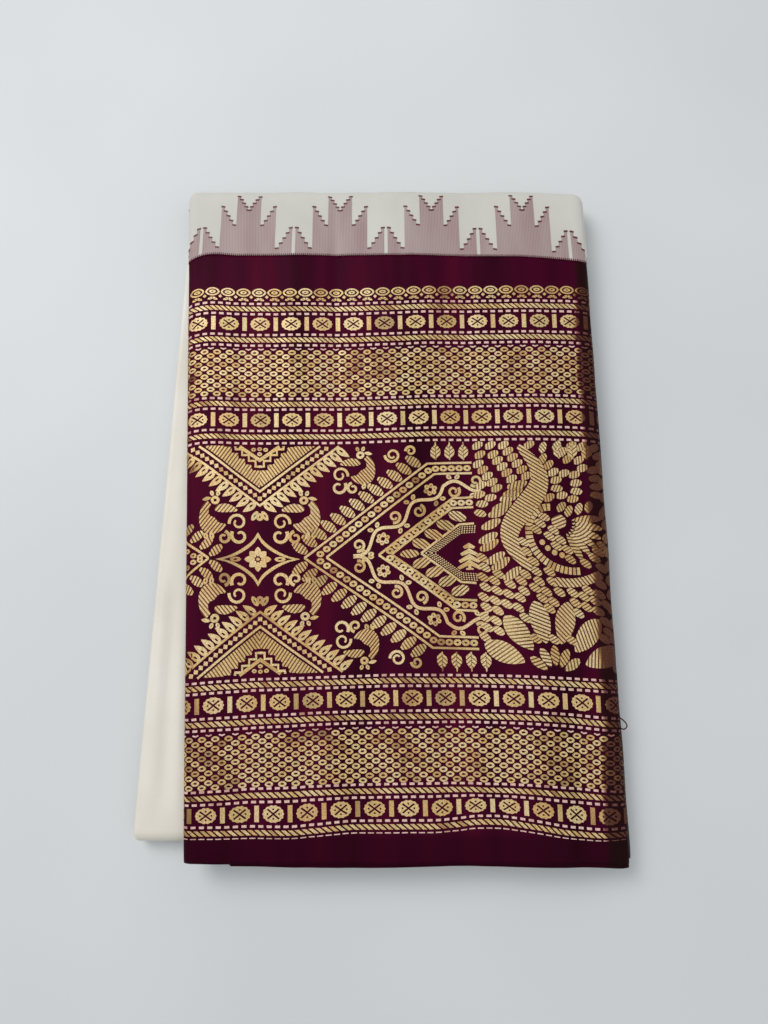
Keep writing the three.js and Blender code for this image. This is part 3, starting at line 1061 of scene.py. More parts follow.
def treeWith(name, sockets):
    # A new tree, what it is given and what it results in.
    tree = bpy.data.node_groups.new(name, "GeometryNodeTree")
    for label, kind in {"Geometry": "Geometry", **sockets}.items():
        tree.interface.new_socket(label, in_out="INPUT", socket_type="NodeSocket" + kind)
    tree.interface.new_socket("Geometry", in_out="OUTPUT", socket_type="NodeSocketGeometry")
    return tree, tree.nodes.new("NodeGroupInput").outputs, tree.nodes.new("NodeGroupOutput").inputs


def copiesOn(tree, points, given, **sources):
    # A copy of the motif on each point.
    motif = addNode(tree, "GeometryNodeObjectInfo", {"Object": given["Motif"]}).outputs["Geometry"]
    sources = {"Points": points, "Instance": motif, **sources}
    return addNode(tree, "GeometryNodeInstanceOnPoints", sources).outputs["Instances"]


def finishTree(tree, copies, given, result):
    # Gives each copy its own tone, then makes plain mesh of them.
    random = addNode(tree, "FunctionNodeRandomValue", {"Seed": given["Seed"]}, data_type="FLOAT")
    store = addNode(tree, "GeometryNodeStoreNamedAttribute",
                    {"Geometry": copies, "Name": "tone", "Value": random.outputs[1]},
                    data_type="FLOAT", domain="INSTANCE")
    plain = addNode(tree, "GeometryNodeRealizeInstances", {"Geometry": store.outputs["Geometry"]})
    threaded = addNode(tree, "GeometryNodeSetMaterial",
                       {"Geometry": plain.outputs["Geometry"], "Material": given["Thread"]})
    tree.links.new(threaded.outputs["Geometry"], result["Geometry"])
    return tree


def rowTree():
    # Copies of a motif in rows. Every other row is shifted.
    tree, given, result = treeWith("wovenRows", {
        "Motif": "Object", "Count": "Int", "Rows": "Int", "Pitch": "Float", "Row Pitch": "Float",
        "Row Shift": "Float", "Start": "Vector", "Seed": "Int", "Thread": "Material",
    })

    def calc(kind, a, b):
        return math2(tree, kind, a, b)

    index = addNode(tree, "GeometryNodeInputIndex").outputs["Index"]
    column = calc("MODULO", index, given["Count"])
    row = calc("FLOOR", calc("DIVIDE", calc("ADD", index, 0.001), given["Count"]), 0.0)
    x = calc("ADD", calc("MULTIPLY", column, given["Pitch"]),
             calc("MULTIPLY", calc("MODULO", row, 2.0), given["Row Shift"]))
    y = calc("MULTIPLY", row, calc("MULTIPLY", given["Row Pitch"], -1.0))
    place = addNode(tree, "ShaderNodeCombineXYZ", {"X": x, "Y": y}).outputs[0]
    spot = addNode(tree, "ShaderNodeVectorMath", {0: place, 1: given["Start"]}, operation="ADD").outputs[0]
    count = calc("MULTIPLY", given["Count"], given["Rows"])
    dots = addNode(tree, "GeometryNodePoints", {"Count": count, "Position": spot}).outputs[0]
    return finishTree(tree, copiesOn(tree, dots, given), given, result)


def lineTree():
    # Copies of a motif spaced along a line, turned to follow it.
    tree, given, result = treeWith("alongLine", {
        "Motif": "Object", "Count": "Int", "Seed": "Int", "Thread": "Material",
    })
    curve = addNode(tree, "GeometryNodeMeshToCurve", {"Mesh": given["Geometry"]}).outputs["Curve"]
    even = addNode(tree, "GeometryNodeResampleCurve", {"Curve": curve, "Count": given["Count"]})
    tangent = addNode(tree, "GeometryNodeInputTangent").outputs[0]
    align = addNode(tree, "FunctionNodeAlignRotationToVector", {"Vector": tangent}, axis="X", pivot_axis="Z")
    copies = copiesOn(tree, even.outputs["Curve"], given, Rotation=align.outputs["Rotation"])
    return finishTree(tree, copies, given, result)


rowNodes = rowTree()
lineNodes = lineTree()


def flatObject(name, points, faces=(), edges=()):
    mesh = bpy.data.meshes.new(name)
    mesh.from_pydata([tuple(p) for p in points], list(edges), [tuple(f) for f in faces])
    piece = bpy.data.objects.new(name, mesh)
    scene.collection.objects.link(piece)
    return piece


def motifObject(name, shapes, step=slab["step"]):
    flat, faces, _ = flatMesh(shapes, step)
    return flatObject(name, flat.tolist(), faces.tolist())


def repeated(tree, settings, points, edges=()):
    # Runs a tree on a few points, and takes the mesh it makes.
    carrier = flatObject("carrier", points, edges=edges)
    modifier = carrier.modifiers.new("repeat", "NODES")
    modifier.node_group = tree
    for item in tree.interface.items_tree:
        if item.item_type == "SOCKET" and item.in_out == "INPUT" and item.name in settings:
            modifier[item.identifier] = settings[item.name]
    graph = bpy.context.evaluated_depsgraph_get()
    mesh = bpy.data.meshes.new_from_object(carrier.evaluated_get(graph))
    carrier.modifiers.remove(modifier)
    flat = np.empty(len(mesh.vertices) * 3, dtype=np.float32)
    mesh.vertices.foreach_get("co", flat)
    tone = np.zeros(len(mesh.vertices), dtype=np.float32)
    mesh.attributes["tone"].data.foreach_get("value", tone)
    corners = np.empty(len(mesh.loops), dtype=np.int32)
    mesh.loops.foreach_get("vertex_index", corners)
    bpy.data.meshes.remove(mesh)
    bpy.data.objects.remove(carrier)
    return flat.reshape(-1, 3).astype(float), corners.reshape(-1, 4), tone


def gather(parts):
    # Joins several flat meshes into one.
    points, faces, tones, base = [], [], [], 0
    for flat, quads, tone in parts:
        points.append(flat)
        faces.append(quads + base)
        tones.append(tone)
        base += len(flat)
    return np.concatenate(points), np.concatenate(faces), np.concatenate(tones)


def rowsOf(motif, thread, count, pitch, start, seed, rows=1, rowPitch=0.0, rowShift=0.0):
    return repeated(rowNodes, {
        "Motif": motif, "Count": count, "Rows": rows, "Pitch": pitch, "Row Pitch": rowPitch,
        "Row Shift": rowShift, "Start": (start[0], start[1], 0.0), "Seed": seed, "Thread": thread,
    }, [(0, 0, 0)])


def alongLine(motif, thread, path, count, seed):
    settings = {"Motif": motif, "Count": count, "Seed": seed, "Thread": thread}
    return repeated(lineNodes, settings, [(p[0], p[1], 0.0) for p in path],
                    [(i, i + 1) for i in range(len(path) - 1)])


# The repeated bands

repeat = {
    "pitch": 19.15,        # one medallion and one bar
    "start": -3.7,         # u of the first bar's middle, past the left edge
    "count": 14,
    "strands": (6, 5),     # rope strands to a repeat, in the upper and in the lower rows
    "shifts": (0.5, 0.6, -8.0, -12.0),      # how far each medallion row starts from the first
}

bands = {
    "flowers": -24.3,
    "dashes": [-31.5, -38.2, -51.4, -58.2, -91.8, -98.4, -111.5, -119.2,
               -258.4, -264.5, -278.1, -284.6, -318.0, -325.1, -337.8],
    "ropes": [-34.8, -54.7, -95.1, -115.3, -261.5, -281.3, -321.6, -341.2],
    "medallions": [-44.5, -104.9, -271.2, -331.3],
    "lattices": [-61.9, -288.6],
    "thinDashes": -344.4,
}
lattice = {"count": 34, "share": 2.5, "start": -1.0, "ovals": -0.9, "caps": 1.2, "rows": 11, "rowPitch": 2.62}


def medallionMotif(ry):
    # An oval ring with a scalloped edge, quartered by an X and with a dot in each quarter.
    rx, ringIn, slitHalf = 6.0, 0.80, 0.13
    shapes = []
    a = np.linspace(0, 2 * math.pi, 28, endpoint=False)
    scallop = 1 + 0.045 * np.cos(14 * a)
    outer = np.stack([rx * scallop * np.cos(a), ry * scallop * np.sin(a)], -1)
    inner = np.stack([rx * ringIn * np.cos(a), ry * ringIn * np.sin(a)], -1)
    shapes.append((outer, inner, True))
    for middle in (0, math.pi / 2, math.pi, 1.5 * math.pi):
        half = math.pi / 4 - slitHalf
        arc = np.linspace(middle - half, middle + half, 7)
        rim = [(rx * ringIn * math.cos(v), ry * ringIn * math.sin(v)) for v in arc]
        start = (0.75 * math.cos(middle), 0.6 * math.sin(middle))
        side = [mix(np.array(start), np.array(rim[-1]), s) for s in (0.75, 0.4)]
        back = [mix(np.array(start), np.array(rim[0]), s) for s in (0.4, 0.75)]
        outline = np.array([*rim, *side, start, *back], float)
        dot = np.array([rx * 0.55 * math.cos(middle), ry * 0.55 * math.sin(middle)])
        away = outline - dot
        hole = dot + away / (np.linalg.norm(away, axis=1, keepdims=True)) * 0.56
        shapes.append((outline, hole, True))
    return shapes


def lens(rx, ry, sharp=1.25, steps=14):
    # An oval whose two sides come to points.
    a = np.linspace(0, 2 * math.pi, steps, endpoint=False)
    return np.stack([rx * np.cos(a), ry * np.sign(np.sin(a)) * np.abs(np.sin(a)) ** sharp], -1)


def flowerMotif():
    # A pointed double ring over a small fan, with a diamond between neighbours.
    fanT, fanReach = -5.5, 2.1
    shapes = [(lens(4.5, 2.75), lens(3.3, 1.85), True), (lens(2.15, 1.15), lens(0.8, 0.34), True)]
    for low in (0.05, 0.82, 1.59, 2.36):
        arc = np.linspace(low, low + 0.6, 4)
        far = [(1.5 * fanReach * math.cos(a), fanT + fanReach * math.sin(a)) for a in arc]
        shapes.append((far, [(0.34 * x, fanT + 0.34 * (t - fanT)) for x, t in far], False))
    half, t, size = repeat["pitch"] / 4, -2.9, 1.15
    shapes.append(([(half - size, t), (half, t + size)], [(half, t - size), (half + size, t)], False))
    return shapes


def ropeMotif(width):
    # One slanting strand. Neighbours lie close, with a thin dark gap between.
    return [([(-1.9, 1.45), (1.6, -1.45)], [(-1.9 + width, 1.45), (1.6 + width, -1.45)], False)]


def weaveBands():
    cap = ([(-1.9, 0.1), (0, -0.7), (1.9, 0.1)], [(-1.5, 0.7), (0, 0.2), (1.5, 0.7)], False)
    motifs = {name: motifObject(name, *made) for name, made in {
        "medallionUp": (medallionMotif(4.2),),
        "medallionLow": (medallionMotif(4.4),),
        "bar": ([blockShape((-1.35, -4.3), (1.35, 4.3))],),
        "flower": (flowerMotif(),),
        "oval": ([(lens(2.45, 1.6, 1.15, 12), lens(1.15, 0.56, 1.0, 12), True)],),
        "cap": ([cap],),
        "dash": ([blockShape((-1.42, -0.66), (1.42, 0.66))], 1.0),
        "thinDash": ([blockShape((-1.7, -0.3), (1.7, 0.3))], 1.0),
        "ropeUp": (ropeMotif(2.05), 1.4),
        "ropeLow": (ropeMotif(2.45), 1.4),
    }.items()}
    pitch, start, count = repeat["pitch"], repeat["start"], repeat["count"]
    gold, pale = [], []
    for k, t in enumerate(bands["medallions"]):
        shift = repeat["shifts"][k]
        gold.append(rowsOf(motifs["bar"], goldMaterial, count + 1, pitch, (start + shift, t), 10 + k))
        medallion = motifs["medallionUp" if k < 2 else "medallionLow"]
        gold.append(rowsOf(medallion, goldMaterial, count, pitch, (start + shift + pitch / 2, t), 20 + k))
    gold.append(rowsOf(motifs["flower"], goldMaterial, 27, pitch / 2, (start + 9.4, bands["flowers"]), 30))
    for k, t in enumerate(bands["ropes"]):
        upper = k < len(bands["ropes"]) // 2
        strands = repeat["strands"][0 if upper else 1]
        rope = motifs["ropeUp" if upper else "ropeLow"]
        gold.append(rowsOf(rope, goldMaterial, 14 * strands, pitch / strands, (start, t), 40 + k))
    for k, t in enumerate(bands["dashes"]):
        pale.append(rowsOf(motifs["dash"], dashMaterial, 54, pitch / 4, (start + 0.6 * (k % 2), t), 50 + k))
    pale.append(rowsOf(motifs["thinDash"], dashMaterial, 54, pitch / 4, (start, bands["thinDashes"]), 70))
    layOnCloth("zari_bands_gold", *gather(gold), goldMaterial)
    for k, t in enumerate(bands["lattices"]):
        u, step, half = start + lattice["start"], pitch / lattice["share"], pitch / (2 * lattice["share"])
        oval = rowsOf(motifs["oval"], goldMaterial, lattice["count"], step, (u, t + lattice["ovals"]), 80 + k,
                      rows=lattice["rows"], rowPitch=lattice["rowPitch"], rowShift=half)
        layOnCloth(("zari_lattice_upper", "zari_lattice_lower")[k], *oval, goldMaterial)
        pale.append(rowsOf(motifs["cap"], dashMaterial, lattice["count"], step,
                           (u + half, t + lattice["caps"]), 84 + k))
    layOnCloth("zari_bands_pale", *gather(pale), dashMaterial)
    for motif in motifs.values():
        bpy.data.objects.remove(motif)


# The temple row

temples = {
    "pitch": 58.0,
    "count": 6,
    "within": (-6.0, 249.0),
    "firstGap": 7.3,
    "lean": {"height": 39.0, "left": 2.7, "fade": 0.0167},
    "tower": [(0.0, 29.4), (0.9, 31.7), (2.5, 34.0), (4.1, 36.4), (5.7, 38.9), (7.5, None)],
    "wing": [(7.5, 19.6), (9.9, 22.6), (11.8, 25.6), (13.7, 28.6), (15.5, 31.6), (17.2, None)],
    "foot": [(17.2, 4.4), (19.9, 7.7), (22.1, 11.0), (24.2, 14.3), (26.1, 17.6), (27.9, None)],
}


def templeMotif():
    body, caps = [], []
    for side in (-1, 1):
        for stair in (temples["tower"], temples["wing"], temples["foot"]):
            for (x0, high), (x1, _) in zip(stair, stair[1:]):
                a, b = sorted((side * x0, side * x1))
                body.append(([(a, 0.35), (a, high)], [(b, 0.35), (b, high)], False))
                middle = side * (x0 + x1) / 2
                caps.append(bar((middle - side * 1.15, high - 0.1), (middle + side * 1.3, high + 0.25), 0.95))
    return body, caps


def weaveTemples():
    body, caps = templeMotif()
    bodyObject, capObject = motifObject("templeBody", body, 2.0), motifObject("templeCap", caps, 1.5)
    start = (temples["firstGap"] + temples["pitch"] / 2 - temples["pitch"], 0.0)
    tint = rowsOf(bodyObject, templeMaterial, temples["count"], temples["pitch"], start, 3)
    layOnCloth("temple_row", *clipAcross(leaned(tint), *temples["within"]), templeMaterial)
    dark = rowsOf(capObject, stepMaterial, temples["count"], temples["pitch"], start, 4)
    tooth = motifObject("tooth", [([(-0.4, -0.1), (-0.24, 1.1)], [(0.4, -0.1), (0.24, 1.1)], False)])
    teeth = rowsOf(tooth, stepMaterial, 205, 1.25, (-5.5, 0.0), 5)
    layOnCloth("temple_steps", *gather([clipAcross(leaned(dark), *temples["within"]), teeth]),
               stepMaterial, lift=0.15)
    for motif in (bodyObject, capObject, tooth):
        bpy.data.objects.remove(motif)


def leaned(part):
    # The towers lean a little, those at the left the most.
    flat, faces, tone = part
    flat = flat.copy()
    lean = temples["lean"]
    flat[:, 0] += flat[:, 1] / lean["height"] * (lean["left"] - lean["fade"] * flat[:, 0])
    return flat, faces, tone


def clipAcross(part, low, high):
    # Leaves out the faces that would run past the cloth's folded edges.
    flat, faces, tone = part
    inside = (flat[:, 0] > low) & (flat[:, 0] < high)
    return flat, faces[inside[faces].all(axis=1)], tone


# The field between the bands

field = {
    "top": -121.2,
    "low": -255.6,
    "middle": -188.4,
    "hatch": 1.95,
    "fill": 0.60,
    "line": 1.35,
    "gapTone": -0.72,
}


def filled(outline, angle, pitch=None, fill=None, glint=None):
    # Bright bars of thread over a duller ground, all within one outline.
    pitch, fill = pitch or field["hatch"], fill or field["fill"]
    outline = np.asarray(outline, float)
    if glint is None:
        glint = 0.62 + 0.36 * math.sin(12.9 * outline[0, 0] + 7.8 * outline[0, 1])
    bars = hatched(outline, math.radians(angle), pitch, fill)
    gaps = hatched(outline, math.radians(angle), pitch, 1.0 - fill, 0.5)
    return [(*s, glint) for s in bars] + [(*s, field["gapTone"]) for s in gaps]


def petal(base, tip, width, angle, pitch=None, fill=None, bend=0.0, belly=0.5, blunt=0.48):
    return filled(leaf(base, tip, width, bend, belly, 13, blunt), angle, pitch, fill)


def slitLeaf(base, tip, width):
    # A small leaf with a dark slit down its middle.
    base, tip = np.array(base, float), np.array(tip, float)
    inner = leaf(mix(base, tip, 0.30), mix(base, tip, 0.70), width * 0.20, 0.0, 0.5, 6)
    return [(leaf(base, tip, width, 0.0, 0.5, 6, 0.5), inner, True)]


def solidLeaf(base, tip, width):
    outline = leaf(base, tip, width, 0.0, 0.5, 7)
    return [(outline[:7], outline[[0, 11, 10, 9, 8, 7, 6]], False)]


def lengthsOf(path):
    return np.concatenate([[0], np.cumsum(np.linalg.norm(np.diff(path, axis=0), axis=1))])


def spaced(path, pitch, start=0.5):
    # Points at equal distances along a path.
    path = np.asarray(path, float)
    length = lengthsOf(path)
    at = np.arange(pitch * start, length[-1], pitch)
    return np.stack([np.interp(at, length, path[:, 0]), np.interp(at, length, path[:, 1])], -1)


def onHalf(points):
    # Heights above the field's middle line become places on the cloth.
    return [(u, field["middle"] + t) for u, t in points]


halfV = {  # the stepped half diamond that hangs from the field's upper edge
    "u": 44.1, "slope": 1.335,
    "outer": -157.0, "beads": -152.8, "inner": -148.5, "comb": -146.3,
    "stairLow": -135.3, "stairHalf": 4.4, "stairRun": 4.0, "stairRise": 3.5,
    "heart": -129.5,
    "leafPitch": 4.75, "beadPitch": 3.57,
}


def arms(apexT, slope=halfV["slope"], past=0.0):
    run = (field["top"] - apexT) * slope - past
    top = apexT + run / slope
    return [(halfV["u"] - run, top), (halfV["u"], apexT), (halfV["u"] + run, top)]


def stairs(side, inset):
    # The stepped line, from the middle out to the field's upper edge.
    u, t = halfV["u"] + side * (halfV["stairHalf"] - inset), halfV["stairLow"] + inset
    path = [(halfV["u"], t), (u, t)]
    while t < field["top"]:
        t = min(t + halfV["stairRise"], field["top"])
        path.append((u, t))
        u += side * halfV["stairRun"]
        path.append((u, t))
    return path[:-1]


def halfDiamond():
    middle, top, line = halfV["u"], field["top"], field["line"]
    shapes = [ribbon(arms(halfV[name]), [line, 1.25 * line, line]) for name in ("outer", "inner")]
    for side in (-1, 1):
        comb = [(middle, halfV["comb"]), (middle + side * (top - halfV["comb"]) * halfV["slope"], top)]
        shapes += filled(comb + stairs(side, -0.4)[::-1], 90 + 35 * side, 1.85, 0.62)
        shapes.append(ribbon(stairs(side, 1.9), 1.6))
        shapes += slitLeaf((middle + side * 1.2, -160.4), (middle + side * 4.8, -166.0), 3.4)
    shapes.append(ribbon([(middle - 12.0, top), (middle, halfV["heart"]), (middle + 12.0, top)],
                         [2.0, 2.5, 2.0]))
    for u, t in ((0, -4.6), (-3.6, -1.9), (3.6, -1.9), (0, -1.5)):
        shapes.append(ring((middle + u, top + t), 1.5, 1.2, (0.34, 0.3), 8))
    # bud below the point, and the leaves that part round it
    shapes.append(ring((middle, -163.9), 2.3, 2.4, (0.24, 0.24), 8))
    return shapes


def fringeLeaf():
    # Points along +y from the line, with a dark eye near its round end.
    return [(leaf((0, 0.1), (2.8, 9.2), 4.3, 0.3, 0.34, 7),
             leaf((0.6, 1.9), (1.4, 4.6), 1.1, 0.0, 0.5, 7), True)]


def diamondBead():
    return [([(-1.65, 0), (0, 1.65)], [(0, -1.65), (1.65, 0)], False)]


star = {"place": (42.9, -0.6), "reach": (25.0, 16.0), "hollow": 0.72, "rim": 0.82, "petals": (8.0, 7.0)}
treePlace = (168.0, -0.4)


def starMotif():
    # A four-pointed star with hollow sides, an eye in each long point and a flower in the middle.
    a = np.linspace(0, 2 * math.pi, 48, endpoint=False)
    c, s = np.cos(a), np.sin(a)
    hollow = star["hollow"]
    reach = (np.abs(c) ** hollow + np.abs(s) ** hollow) ** (-1 / hollow)
    outer = np.stack([star["reach"][0] * reach * c, star["reach"][1] * reach * s], -1)
    shapes = [(outer, outer * star["rim"], True)]
    for side in (-1, 1):
        shapes.append(ring((side * 13.2, 0), 3.4, 1.5, (0.35, 0.35), 8))
    for k in range(8):
        v = k * math.pi / 4
        far = star["petals"][k % 2]
        c, s = math.cos(v), math.sin(v)
        shapes += solidLeaf((1.6 * c, 1.6 * s), (far * c, 0.92 * far * s), 4.0)
    shapes.append(disc((0, 0), 1.1, 1.0, 8))
    return shapes


bird = {  # the body is a comma that winds round a middle, from the neck to the root of the tail
    "middle": (6.5, 2.0), "reach": 8.6, "angles": (128, 306), "neck": 4.6, "belly": 6.2,
    # spirals: middle, radius, starting angle, turns, width
    "spirals": [((19.4, -3.6), 5.6, 190, -1.15, 1.9), ((20.6, -12.0), 5.4, 150, 0.95, 2.2),
                ((10.6, -13.2), 4.0, 80, -1.1, 2.1)],
    # places in the upper half: middle, whether it faces right, scale
    "places": [((12.9, 24.6), False, 0.94), ((75.2, 24.6), True, 0.94), ((109.0, 52.4), True, 0.86)],
    # spirals between the third bird and the chevron: middle, radius, turns
    "beside": [((124.0, 60.6), 4.6, 1.4), ((135.0, 62.8), 3.2, -1.2)],
}


def birdMotif():
    # A parrot that faces left, put together from a comma, leaves, a ring and spirals.
    s = np.linspace(0, 1, 18)
    width = (bird["neck"] + bird["belly"] * np.exp(-((s - 0.6) / 0.24) ** 2)) * (1 - 0.6 * smooth(s, 0.78, 1))
    left, right, _ = ribbon(winding(bird["middle"], (bird["reach"], bird["reach"]), bird["angles"], 18),
                            width)
    shapes = filled(np.concatenate([left, right[::-1]]), 50)
    shapes.append(ring((5.0, 10.4), 2.9, 2.7, (0.36, 0.34), 12))
    shapes += solidLeaf((2.4, 12.0), (-3.4, 10.8), 2.5)
    for lean in (-1.3, 1.2):
        shapes += slitLeaf((5.0 + lean, 13.1), (5.0 + 2.2 * lean, 16.4), 2.6)
    shapes += petal((4.8, 4.6), (19.4, 4.0), 5.6, 50, bend=1.2, belly=0.4, blunt=0.6)
    for center, radius, start, turns, thick in bird["spirals"]:
        shapes.append(curl(center, radius, math.radians(start), turns, thick))
    for k in range(2):
        shapes += slitLeaf((-1.6 + 3.8 * k, -10.0), (-0.2 + 3.8 * k, -14.2), 3.2)
    return shapes


chevrons = {  # nested arms of one slope. Each has its apex, and the height where it turns level.
    "slope": 0.735, "end": 171.5,
    "lines": [(70.5, 54.5), (83.5, 48.0), (114.5, 33.0), (122.0, 27.0), (139.5, 17.0)],
    "beads": [(77.0, 51.2), (118.2, 30.0)],
    "beadPitch": 4.77,
    "petalStart": (68.0, 5.8), "petalStep": 5.7, "petals": 13,
    "leafStart": (139.6, 5.6), "leafStep": 7.4, "leaves": 4,
    "dots": (142.2, 15.4), "dotRows": 4,
}


def arm(apex, level, end=None):
    return [(apex, 0), (apex + level / chevrons["slope"], level), (end or chevrons["end"], level + 0.6)]


def chevronWork():
    shapes = []
    slope = chevrons["slope"]
    for apex, level in chevrons["lines"]:
        shapes.append(ribbon(onHalf(arm(apex, level)), field["line"]))
    for apex, level in chevrons["beads"]:
        path = onHalf(arm(apex, level, chevrons["end"] + 1.5))
        shapes += [ring(spot, 2.35, 1.9, (0.34, 0.3), 10)
                   for spot in spaced(path, chevrons["beadPitch"], 0.75)]
    axis = np.array([4.3, -3.1])
    for k in range(chevrons["petals"]):
        center = (np.array(onHalf([chevrons["petalStart"]])[0])
                  + k * chevrons["petalStep"] * np.array([1, slope]))
        shapes += petal(center + axis, center - axis, 5.5, 57, 1.85)
    for k in range(chevrons["leaves"]):
        center = (np.array(onHalf([chevrons["leafStart"]])[0])
                  + k * chevrons["leafStep"] * np.array([1, slope]))
        shapes += petal(center - (5.4, -1.6), center + (5.4, -1.6), 6.2, 140, 1.85)
    # the closely dotted band that lines the innermost chevron
    apex, level = chevrons["dots"]
    for row in range(chevrons["dotRows"]):
        path = onHalf(arm(apex + 1.7 * row, level - 1.2 * row, 172.5))
        for spot in spaced(path, 1.5, 0.25 + 0.5 * (row % 2)):
            shapes.append(([spot - (0.5, 0.30), spot + (-0.25, 0.40)],
                           [spot + (0.25, -0.40), spot + (0.5, 0.30)], False, 1.0))
    return shapes


vine = {"apex": 99.0, "level": 40.2, "end": 177.0, "sway": 3.2, "wave": 27.0, "hollow": 3.1, "coil": 3.8}


def vineWork():
    # A waving stem between the second and third chevrons, with spirals and flowers in its hollows.
    step = 0.9
    middle = spaced(onHalf(arm(vine["apex"], vine["level"], vine["end"])), step)
    ahead = np.gradient(middle, axis=0)
    ahead /= np.linalg.norm(ahead, axis=1, keepdims=True)
    side = np.stack([-ahead[:, 1], ahead[:, 0]], -1)
    at = np.arange(len(middle)) * step
    sway = -vine["sway"] * np.sin(2 * math.pi * at / vine["wave"])
    shapes = [ribbon(middle + side * sway[:, None], 1.9)]
    for k, along in enumerate(np.arange(vine["wave"] / 4, at[-1] - 2, vine["wave"] / 2)):
        i = int(along / step)
        stem = side[i] * (-1 if k % 2 == 0 else 1)
        hollow = middle[i] - stem * vine["hollow"]
        if k % 3 == 1:
            for n in range(6):
                v = math.radians(60 * n + 20)
                out = np.array([math.cos(v), 0.9 * math.sin(v)])
                shapes += slitLeaf(hollow + 1.1 * out, hollow + 4.3 * out, 2.9)
        else:
            start = math.atan2(stem[1], stem[0]) - 0.9
            shapes.append(curl(hollow, vine["coil"], start, 1.25 if k % 2 == 0 else -1.25, 1.8))
        for way in (-1, 1):
            shapes += slitLeaf(middle[i] + stem * 4.7 + ahead[i] * way,
                               middle[i] + stem * 6.8 + ahead[i] * 4.0 * way, 2.7)
    return shapes


def treeMotif():
    shapes = [blockShape((-0.9, -9.4), (0.9, -3.0)), blockShape((-2.2, -9.6), (2.2, -8.6))]
    for apexT, half in ((6.4, 3.6), (3.2, 5.4), (-0.2, 6.6), (-3.6, 7.4)):
        for side in (-1, 1):
            shapes.append(([(0, apexT), (side * half, apexT - 0.62 * half)],
                           [(0, apexT - 3.1), (side * half * 0.8, apexT - 0.62 * half - 1.3)], False))
    return shapes


sprigs = {  # first u, pitch and distance from the field's edge
    "upper": (150.0, 8.4, 5.4), "right": (224.6, 8.6, 4.6),
    "lower": (175.2, 5.4),      # one alone: u and distance
}


def sprigMotif():
    # A bud with veins that meet in a V, a spire above and a stalk below.
    shapes = [([(-0.6, 3.6), (-0.2, 6.2)], [(0.6, 3.6), (0.2, 6.2)], False),
              blockShape((-0.4, -5.0), (0.4, -3.4))]
    bud = leaf((0, -4.0), (0, 4.6), 6.2, 0.0, 0.44, 9)
    for side, half in ((-1, bud[:9]), (1, np.concatenate([bud[8:], bud[:1]]))):
        shapes += filled(half + (0.12 * side, 0), 90 - side * 50, 1.9, 0.72, 1.0)
    return shapes


plume = {  # a great plume that sways once as it runs down the field, and the small feathers about it
    "from": (200.0, -123.4), "to": (204.0, -198.0), "sway": 11.0, "width": (3.0, 9.6),
    "leaves": {"count": 11, "from": 0.34, "to": 0.98, "size": 13.0, "width": 5.2, "turns": (196, 214)},
    "feather": {"pitch": 5.0, "half": 3.9, "width": 4.4, "clear": 2.1, "apart": (6.9, 4.5)},
    # arcs of small feathers: each is turned by turn plus follow times its angle about the middle
    "arcs": [
        {"middle": (202.0, -147.0), "radii": (20, 26, 32, 38, 44, 50), "from": -6, "to": 108,
         "turn": 6, "follow": 1.0},
        {"middle": (222.0, -169.0), "radii": (9, 15, 21, 27), "from": 14, "to": 110,
         "turn": 80, "follow": -0.45},
    ],
    # turn: the lower feathers' turn, and how much it grows between two heights
    "sprinkle": {"low": (175.4, -238.0), "high": (247.0, -122.8), "step": (2.6, 1.9),
                 "turn": (-34, 62), "between": (-175, -145)},
    "within": (172, 253), "topGap": 1.6,
}
wing = {  # round a disc: a ladder strip and beads that wind outwards, a fan of feathers and a band below
    "disc": (222.0, -169.0),
    "ladder": {"radii": (9.5, 31.0), "angles": (118, 292), "width": 4.2, "rung": 2.5},
    "beads": {"radii": (16.0, 21.0), "angles": (222, 284), "pitch": 4.6},
    "fan": {"radii": (8.0, 26.0), "angles": (8, -60), "count": 6, "width": 4.4},
    "band": {"radii": (35.5, 37.5), "angles": (262, 308), "width": 5.0},
}
lotus = {  # tiers of petals that fan out from one middle
    "middle": (214.5, -258.0),
    "tiers": [
        {"radii": (19.0, 43.5), "angles": (24, 156), "count": 6, "width": 11.8},
        {"radii": (6.2, 18.0), "angles": (37.2, 142.8), "count": 5, "width": 5.2},
    ],
}


def fan(middle, radii, angles, count, width):
    # Petals from one circle out to another, each with the angle of its bars.
    petals = []
    for angle in np.linspace(*angles, count):
        out = np.array([math.cos(math.radians(angle)), math.sin(math.radians(angle))])
        base, tip = np.array(middle) + radii[0] * out, np.array(middle) + radii[1] * out
        petals.append((leaf(base, tip, width, 0.0, 0.56, 13, 0.58), angle + 58))
    return petals


def insideOutline(outline, spot):
    a, b = outline, np.roll(outline, -1, axis=0)
    crosses = (a[:, 1] > spot[1]) != (b[:, 1] > spot[1])
    a, b = a[crosses], b[crosses]
    at = a[:, 0] + (spot[1] - a[:, 1]) / (b[:, 1] - a[:, 1]) * (b[:, 0] - a[:, 0])
    return (at > spot[0]).sum() % 2 == 1


def isClear(taken, spot, margin):
    return all(np.linalg.norm(outline - spot, axis=1).min() > margin and not insideOutline(outline, spot)
               for outline in taken)


